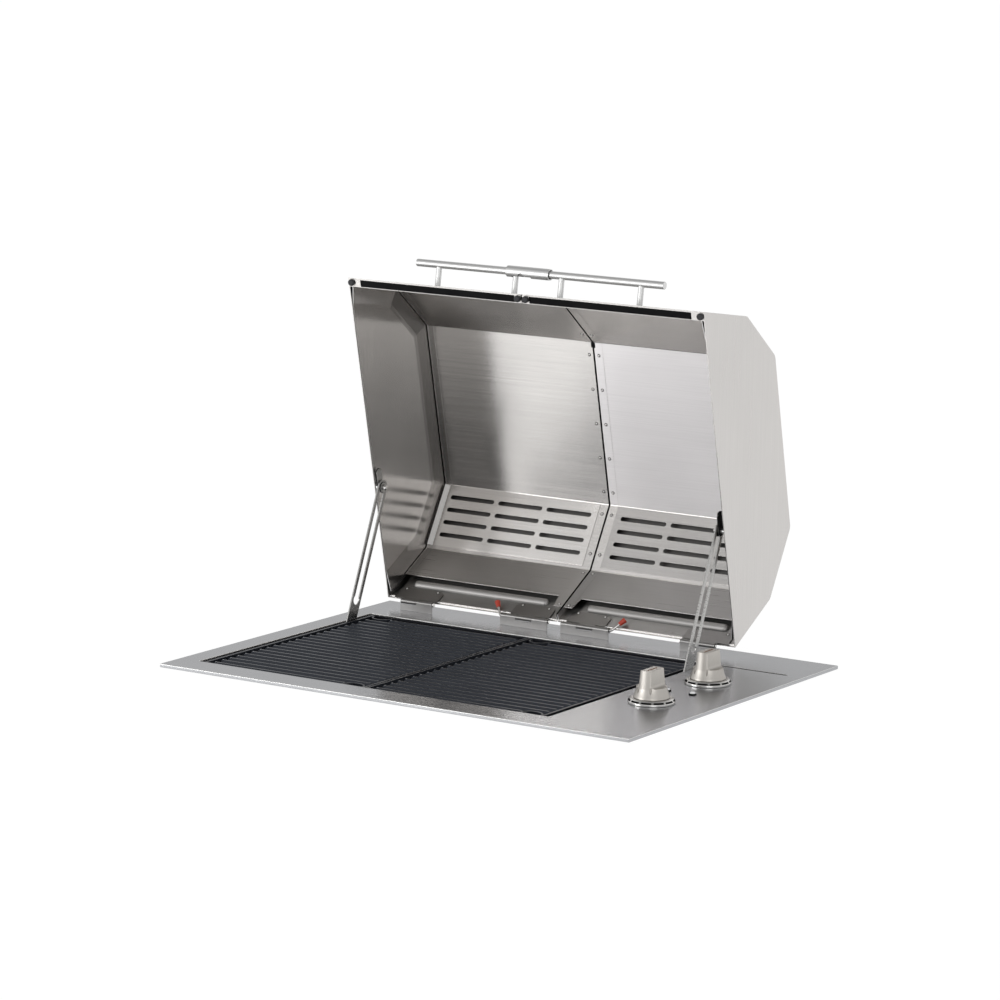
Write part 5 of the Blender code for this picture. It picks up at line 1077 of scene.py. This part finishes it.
def front_seal(hand):
    """The front rim's dark strip on its backing, and the two bumpers under it."""
    back_low = HINGE_BELOW_RIM + JUST_INSIDE
    back_high = back_low + SEAL_BACKING
    near, far = BUMPER_PLACES
    outline = stadium(far - near + 2 * BUMPER_STEM_RADIUS, SEAL_WIDTH - 2 * GAP, ((near + far) / 2, SEAL_Y))
    strip = prism(seal_outline(GAP), HINGE_BELOW_RIM + SKIN / 3, (back_low + back_high) / 2, "Z")
    back = fuse(prism(outline, back_low, back_high, "Z"), strip)
    on_hood(rounded(back, FINE_EDGE), "rim_strip", "rubber", hand, "front_seal")
    top = HINGE_BELOW_RIM - GAP
    profile = [
        (0, top - BUMPER_HEIGHT), (BUMPER_RADIUS * 3 / 4, top - BUMPER_HEIGHT),
        (BUMPER_RADIUS, top - BUMPER_HEIGHT * 2 / 3), (BUMPER_RADIUS, top), (0, top),
    ]
    bumpers = [rounded(turned(profile, (x, BUMPER_Y, 0)), SOFT_EDGE, 3) for x in BUMPER_PLACES]
    on_hood(group(*bumpers), "rim_bumpers", "bumper", hand)


def stiffener_bead(hand):
    """A rolled bead with round ends on the rear wall."""
    near, far = BEAD_SEAM_MARGIN, LID_SPAN - BEAD_SIDE_MARGIN
    ends = [(BEAD_RADIUS * a, max(b, BEAD_TIP)) for a, b in arc((1, 0), 1, math.pi, -math.pi / 2, BEAD_STEPS)]
    stations = [(near + x, size) for x, size in ends] + [(far - x, size) for x, size in reversed(ends)]
    bead = lofted([
        [(x, BEAD_CENTRE + BEAD_RADIUS * a, GAP + BEAD_HEIGHT * b)
         for a, b in arc((0, 0), size, 0, math.pi, BEAD_STEPS)]
        for x, size in stations
    ])
    on_hood(bead, "rolled_bead", "bead", hand, "stiffener_bead", inner=wall_matrix(REAR_WALL, SKIN))


# Hinges
def knuckle_spans(hinge, hooded):
    """Where the knuckles that belong to the hood, or to the base, start and end."""
    pitch = hinge["length"] / len(hinge["owners"])
    starts = [hinge["near"] + i * pitch for i, owner in enumerate(hinge["owners"]) if owner == hooded]
    return [(start + KNUCKLE_GAP / 2, start + pitch - KNUCKLE_GAP / 2) for start in starts]


def knuckle(start, end):
    profile = [(KNUCKLE_BORE, start), (KNUCKLE_RADIUS, start), (KNUCKLE_RADIUS, end), (KNUCKLE_BORE, end)]
    return turned(profile, axis="X", sides=ROUND)


def hood_leaf(hand, name, hinge):
    """A leaf on the rear wall, joined to its knuckle by a neck and held by two rivets."""
    near, far = hinge["leaf"]
    span, = knuckle_spans(hinge, True)
    corner = LID_LEAF_HIGH - LEAF_CORNER
    outline = [(near, LID_LEAF_LOW), (far, LID_LEAF_LOW), (far, corner), (far - LEAF_CORNER, LID_LEAF_HIGH),
               (near + LEAF_CORNER, LID_LEAF_HIGH), (near, corner)]
    leaf = moved(prism(outline, GAP, GAP + LEAF_SHEET, "Z"), wall_matrix(REAR_WALL, SKIN))
    half = LEAF_SHEET / 2
    foot = wall_matrix(REAR_WALL, SKIN) @ Vector((0, LID_LEAF_LOW, GAP + half))
    neck = prism(rectangle((foot.y - half, KNUCKLE_RADIUS / 2), (foot.y + half, foot.z + half)), *span)
    rounded(fuse(leaf, neck, knuckle(*span)), FINE_EDGE)
    on_hood(leaf, "hinge_leaf_" + name, "fittings", hand, "hood_leaf_" + name)
    rivets = [rivet_head(x, LID_LEAF_RIVET, REAR_WALL, SKIN + GAP + LEAF_SHEET)
              for x in (near + LID_LEAF_RIVET_INSET, far - LID_LEAF_RIVET_INSET)]
    on_hood(group(*rivets), "hinge_rivets_" + name, "lip", hand, extra=("black",))


def hinge_base(hand, name, hinge):
    """A standing leaf on the flange with the base's knuckles."""
    near, front, below = hinge["near"], -KNUCKLE_RADIUS, -KNUCKLE_RADIUS - KNUCKLE_GAP
    leaf = block((near, front, GAP - HINGE_ABOVE_FLANGE), (near + hinge["length"], front + LEAF_SHEET, below))
    spans = knuckle_spans(hinge, False)
    necks = [block((start, front, below - KNUCKLE_GAP), (end, front + LEAF_SHEET, 0)) for start, end in spans]
    rounded(fuse(leaf, *necks, *[knuckle(*span) for span in spans]), FINE_EDGE)
    piece = name + "_" + hand
    dress(leaf, "hinge_stand_" + piece, "fittings", ["hinge_base_" + piece], place=sided(HINGE, hand))


def hinge_pin(hand):
    """The outer hinge's fixed pin, with its head towards the seam."""
    near = HINGES["outer"]["near"] - GAP
    far = near + GAP + HINGES["outer"]["length"] + PIN_HEAD / 2
    pin = turned([
        (0, near - PIN_HEAD), (PIN_HEAD_RADIUS, near - PIN_HEAD), (PIN_HEAD_RADIUS, near),
        (PIN_RADIUS, near), (PIN_RADIUS, far), (0, far),
    ], axis="X")
    rounded(pin, FINE_EDGE)
    dress(pin, "fixed_pin_" + hand, "bright", ["hinge_pin_" + hand], place=sided(HINGE, hand))


def release_pin(hand):
    """A pin whose end bends up and out into a lever with a red grip."""
    near, far = HINGES["inner"]["near"], HINGES["inner"]["near"] + HINGES["inner"]["length"]
    elbow = Vector((far + LEVER_START - PIN_RADIUS / 2, 0, 0))
    lever = Matrix.Rotation(OPEN_ANGLE, 3, "X") @ Vector((LEVER_OUT, LEVER_BACK, LEVER_RISE))
    tip, way = elbow + lever, lever.normalized()
    grip_start = tip - way * LEVER_TIP_LENGTH
    path, radii = [(near - PIN_HEAD, 0, 0)], [PIN_RADIUS]
    for i in range(LEVER_STEPS + 1):
        share = i / LEVER_STEPS
        before = elbow - Vector((LEVER_BEND * (1 - share), 0, 0))
        path.append(before.lerp(elbow + way * LEVER_BEND * share, share))
        radii.append(PIN_RADIUS + (LEVER_RADIUS - PIN_RADIUS) * share)
    pin = tube(path + [grip_start + way * GAP], radii + [LEVER_RADIUS])
    on_hood(pin, "pull_pin", "bright", hand, "release_pin")
    grip = rod(grip_start, tip, LEVER_RADIUS * 3 / 2, SMALL_ROUND, LEVER_TIP_RADIUS)
    on_hood(rounded(grip, LEVER_TIP_EDGE, 3), "pull_grip", "red", hand, body="release_pin")


# Handle, drawn in the front wall's axes
HANDLE_AXES = wall_matrix(FRONT_WALL, 0)
HANDLE_Y, HANDLE_Z = WALL_LENGTHS[FRONT_WALL] - HANDLE_FROM_RIM, -HANDLE_STANDOFF


def lid_handle(hand):
    """A bar on two posts."""
    bar = rounded(rod((BAR_START, HANDLE_Y, HANDLE_Z), (BAR_END, HANDLE_Y, HANDLE_Z), BAR_RADIUS), BAR_CHAMFER)
    posts = [rod((x, HANDLE_Y, HANDLE_Z), (x, HANDLE_Y, -GAP), POST_RADIUS, MID_ROUND) for x in POST_PLACES]
    on_hood(fuse(bar, group(*posts)), "grab_bar", "bar", hand, "handle", inner=HANDLE_AXES)


def coupling_sleeve():
    """A sleeve over both bars' ends, with a slot for the post that it slides past and a notch; their faces and the
    mouth's are painted black as shade.
    """
    near, far = -SLEEVE_PAST_SEAM, SLEEVE_REACH
    sleeve = turned([
        (SLEEVE_BORE, near + SLEEVE_MOUTH_DEPTH), (SLEEVE_MOUTH_RADIUS, near + SLEEVE_MOUTH_DEPTH),
        (SLEEVE_MOUTH_RADIUS, near), (SLEEVE_RADIUS, near), (SLEEVE_RADIUS, far), (SLEEVE_BORE, far),
    ], (0, HANDLE_Y, HANDLE_Z), "X", ROUND)
    width = POST_RADIUS + SLEEVE_SLOT_CLEARANCE
    slot = block((POST_PLACES[0] - width - SLEEVE_TRAVEL, HANDLE_Y - width, HANDLE_Z),
                 (POST_PLACES[0] + width, HANDLE_Y + width, HANDLE_Z + SLEEVE_RADIUS + OVERRUN))
    notch = rod((NOTCH_PLACE, HANDLE_Y, HANDLE_Z),
                (NOTCH_PLACE, HANDLE_Y + SLEEVE_RADIUS, HANDLE_Z + SLEEVE_RADIUS), NOTCH_RADIUS, SMALL_ROUND)
    # the slot, the notch and the mouth's counterbore take black, painted shade
    rounded(carve(sleeve, painted(slot, 1), painted(notch, 1)), SMALL_EDGE)
    painted(sleeve, 1, lambda face: math.hypot(
        face.center.y - HANDLE_Y, face.center.z - HANDLE_Z) < SLEEVE_MOUTH_RADIUS)
    place = sided(HINGE, "left", OPEN_ANGLE) @ HANDLE_AXES
    dress(sleeve, "joining_sleeve", "bar", ["coupling_sleeve"], place=place, extra=("black",))


# Stays
def stay(hand):
    """A slotted arm with a keyhole, drawn upright from its pivot, and the nut at the stud."""
    stud = Matrix.Rotation(-OPEN_ANGLE, 3, "X") @ Vector((0, *STUD)) + HINGE - STAY_PIVOT
    reach = math.hypot(stud.y, stud.z)
    place = sided(STAY_PIVOT, hand, math.atan2(stud.y, stud.z))

    def upright(low, high, width):
        outline = stadium(high - low, width, ((high + low) / 2, 0))
        return [(b, a) for a, b in outline]

    inner = STAY_X - STAY_SHEET
    arm = prism(upright(-STAY_WIDTH / 2, reach + STAY_WIDTH / 2, STAY_WIDTH), inner, STAY_X)
    near, far = inner - OVERRUN, STAY_X + OVERRUN
    slot = prism(upright(STAY_KEYHOLE_PLACE, reach + STAY_SLOT / 2, STAY_SLOT), near, far)
    keyhole = rod((near, 0, STAY_KEYHOLE_PLACE), (far, 0, STAY_KEYHOLE_PLACE), STAY_KEYHOLE_RADIUS, MID_ROUND)
    pivot_hole = rod((near, 0, 0), (far, 0, 0), STAY_PIVOT_RADIUS + STAY_PIVOT_CLEARANCE, SMALL_ROUND)
    rounded(carve(arm, slot, keyhole, pivot_hole), STAY_EDGE, 3)
    dress(arm, "slotted_stay_" + hand, "arm", ["stay_arm_" + hand], place=place)

    face = inner - GAP
    washer_face = face - STAY_WASHER
    hex_face = washer_face - STAY_NUT_HEX
    centre = (0, 0, reach)
    washer = turned([
        (0, STAY_X), (STAY_STUD_RADIUS, STAY_X), (STAY_STUD_RADIUS, face), (STAY_WASHER_RADIUS, face),
        (STAY_WASHER_RADIUS, washer_face), (0, washer_face),
    ], centre, "X", MID_ROUND)
    dress(rounded(washer, FINE_EDGE), "stay_washer_" + hand, "arm", ["stay_nut_" + hand], place=place)
    shade = rod((face, 0, reach), (face - STAY_OUTLINE_SHEET, 0, reach), STAY_WASHER_RADIUS + STAY_OUTLINE,
                MID_ROUND)
    dress(shade, "stay_shade_" + hand, "black", body="stay_" + hand, place=place)
    nut = prism([(a, reach + b) for a, b in circle(STAY_NUT_RADIUS, 6)], hex_face, washer_face)
    radius = STAY_NUT_RADIUS * math.cos(math.pi / 6) - GAP
    profile = [(0, hex_face + GAP), (radius, hex_face + GAP)]
    profile += dome(radius, STAY_NUT_HEX - STAY_NUT_HEIGHT, hex_face) + [(0, washer_face - STAY_NUT_HEIGHT)]
    fuse(rounded(nut, STAY_EDGE), turned(profile, centre, "X", MID_ROUND))
    dress(nut, "stay_dome_nut_" + hand, "bright", body="stay_" + hand, place=place)


# Carried over from the frame
CARRIED = {
    "inner": ("tub", "plate_frame", "element_rack", "tray_runner_left", "tray_runner_right", "control_box",
              "control_box_cover", "thermostat_front", "thermostat_rear"),
    "bright": ("drip_tray", "bench_clamp_front", "bench_clamp_rear", "stay_pivot_left", "stay_pivot_right",
               "temperature_sensor_front", "temperature_sensor_rear"),
    "sheath": ("heating_element_front", "heating_element_rear"),
    "plastic": ("terminal_block", "inlet_gland"),
}


def carried_over():
    for finish, nodes in CARRIED.items():
        for node in nodes:
            thing = frame["nodes"][node]
            thing.data.materials.clear()
            thing.data.materials.append(FINISHES[finish][1])


# Stage, light and camera
BENCH_DROP = 0.0005
BENCH_CUT = ((0.020, 0.040, 0), (0.870, 0.630, 0))
BENCH_GLOW = 1.03
BENCH_GLOW_SHARE = 0.94
STAGE_REACH = 30.0
CAMERA_PLACE = Vector((3.6954, -5.811924, 1.6201))
CAMERA_AZIMUTH = math.radians(32.790)
CAMERA_DOWN = math.radians(9.944)
CAMERA_ROLL = math.radians(0.964)
CAMERA_LENS = 154.27
SENSOR = 36.0
SKY_STRENGTH = 0.80
SKY_MIRRORED = {"From Min": 0.38, "From Max": 0.95, "To Min": 1.0, "To Max": 0.30}
LIGHT_AIM = Vector((0, 0.30, 0.45))
LAMPS = (
    ("soft_left", Vector((-2.05, -2.9, 0.70)), 1.8, 1.0, 29.0),
    ("soft_right", Vector((2.6, -2.9, 0.75)), 2.0, 1.0, 12.0),
)


def stage():
    """A pale benchtop just under the flange's edge, with a cut-out for what hangs below it."""
    low, high = (ORIGIN + Vector(corner) for corner in BENCH_CUT)
    shape = bmesh.new()
    xs, ys = ((-STAGE_REACH, *cut, STAGE_REACH) for cut in ((low.x, high.x), (low.y, high.y)))
    spots = [[shape.verts.new((x, y, flange_low.z - BENCH_DROP)) for x in xs] for y in ys]
    for row in range(3):
        for column in range(3):
            if (row, column) != (1, 1):
                shape.faces.new((spots[row][column], spots[row][column + 1],
                                 spots[row + 1][column + 1], spots[row + 1][column]))
    floor = to_object(shape, "benchtop")
    material, tree, _ = new_material("pale_benchtop")
    tree.nodes.clear()
    seen = add(tree, "Math", {
        0: add(tree, "LightPath", output="Is Camera Ray"), 1: add(tree, "LightPath", output="Is Glossy Ray"),
    }, operation="MAXIMUM")
    mix = add(tree, "MixShader", {
        "Fac": add(tree, "Math", {0: seen, 1: BENCH_GLOW_SHARE}, operation="MULTIPLY"),
        1: add(tree, "BsdfDiffuse", {"Color": (0.90, 0.90, 0.90, 1)}),
        2: add(tree, "Emission", {"Color": (1, 1, 1, 1), "Strength": BENCH_GLOW}),
    })
    feed(tree, tree.nodes.new("ShaderNodeOutputMaterial"), {"Surface": mix})
    floor.data.materials.clear()
    floor.data.materials.append(material)


def light():
    """A white surround that is darker in mirrors towards its top, and two soft lamps."""
    world = bpy.data.worlds.new("studio")
    bpy.context.scene.world = world
    world.use_nodes = True
    tree = world.node_tree
    tree.nodes.clear()
    up = add(tree, "SeparateXYZ", {0: add(tree, "TexCoord", output="Generated")}, "Z")
    fall = add(tree, "MapRange", {"Value": up, **SKY_MIRRORED}, interpolation_type="SMOOTHSTEP")
    result = add(tree, "Background", {"Color": (1.0, 1.0, 1.0, 1), "Strength": SKY_STRENGTH})
    for ray, strength in (("Is Glossy Ray", fall), ("Is Camera Ray", 1.0)):
        seen = add(tree, "Background", {"Strength": strength})
        result = add(tree, "MixShader", {"Fac": add(tree, "LightPath", output=ray), 1: result, 2: seen})
    feed(tree, tree.nodes.new("ShaderNodeOutputWorld"), {"Surface": result})
    for name, place, size, height, power in LAMPS:
        lamp = bpy.data.lights.new(name, "AREA")
        lamp.shape = "RECTANGLE"
        lamp.size = size
        lamp.size_y = height
        lamp.energy = power
        key = bpy.data.objects.new(name, lamp)
        bpy.context.scene.collection.objects.link(key)
        key.location = place
        key.rotation_euler = (LIGHT_AIM - place).to_track_quat("-Z", "Y").to_euler()
    bpy.context.scene.view_settings.view_transform = "Standard"


def camera():
    forward = Vector((
        -math.sin(CAMERA_AZIMUTH) * math.cos(CAMERA_DOWN), math.cos(CAMERA_AZIMUTH) * math.cos(CAMERA_DOWN),
        -math.sin(CAMERA_DOWN),
    ))
    right = Vector((math.cos(CAMERA_AZIMUTH), math.sin(CAMERA_AZIMUTH), 0))
    up = right.cross(forward)
    rolled_right = right * math.cos(CAMERA_ROLL) + up * math.sin(CAMERA_ROLL)
    rolled_up = up * math.cos(CAMERA_ROLL) - right * math.sin(CAMERA_ROLL)
    data = bpy.data.cameras.new("camera")
    data.sensor_width = SENSOR
    data.lens = CAMERA_LENS
    data.clip_end = 100.0
    thing = bpy.data.objects.new("camera", data)
    bpy.context.scene.collection.objects.link(thing)
    turn = Matrix((rolled_right, rolled_up, -forward)).transposed()
    thing.matrix_world = Matrix.Translation(CAMERA_PLACE) @ turn.to_4x4()
    bpy.context.scene.camera = thing


def main():
    camera()
    stage()
    light()
    carried_over()
    flange()
    for place, spot in KNOB_PLACES.items():
        knob_bezel(place, spot)
        knob(place, spot)
    for hand in SIDES:
        cooking_plate(hand)
        indicator_lamp(hand, LAMP_PLACES[hand])
        hood_skin(hand)
        hood_liner(hand)
        vent_panel(hand)
        seam_channel(hand)
        front_seal(hand)
        stiffener_bead(hand)
        for name, hinge in HINGES.items():
            hood_leaf(hand, name, hinge)
            hinge_base(hand, name, hinge)
        hinge_pin(hand)
        release_pin(hand)
        lid_handle(hand)
        stay(hand)
    coupling_sleeve()


main()
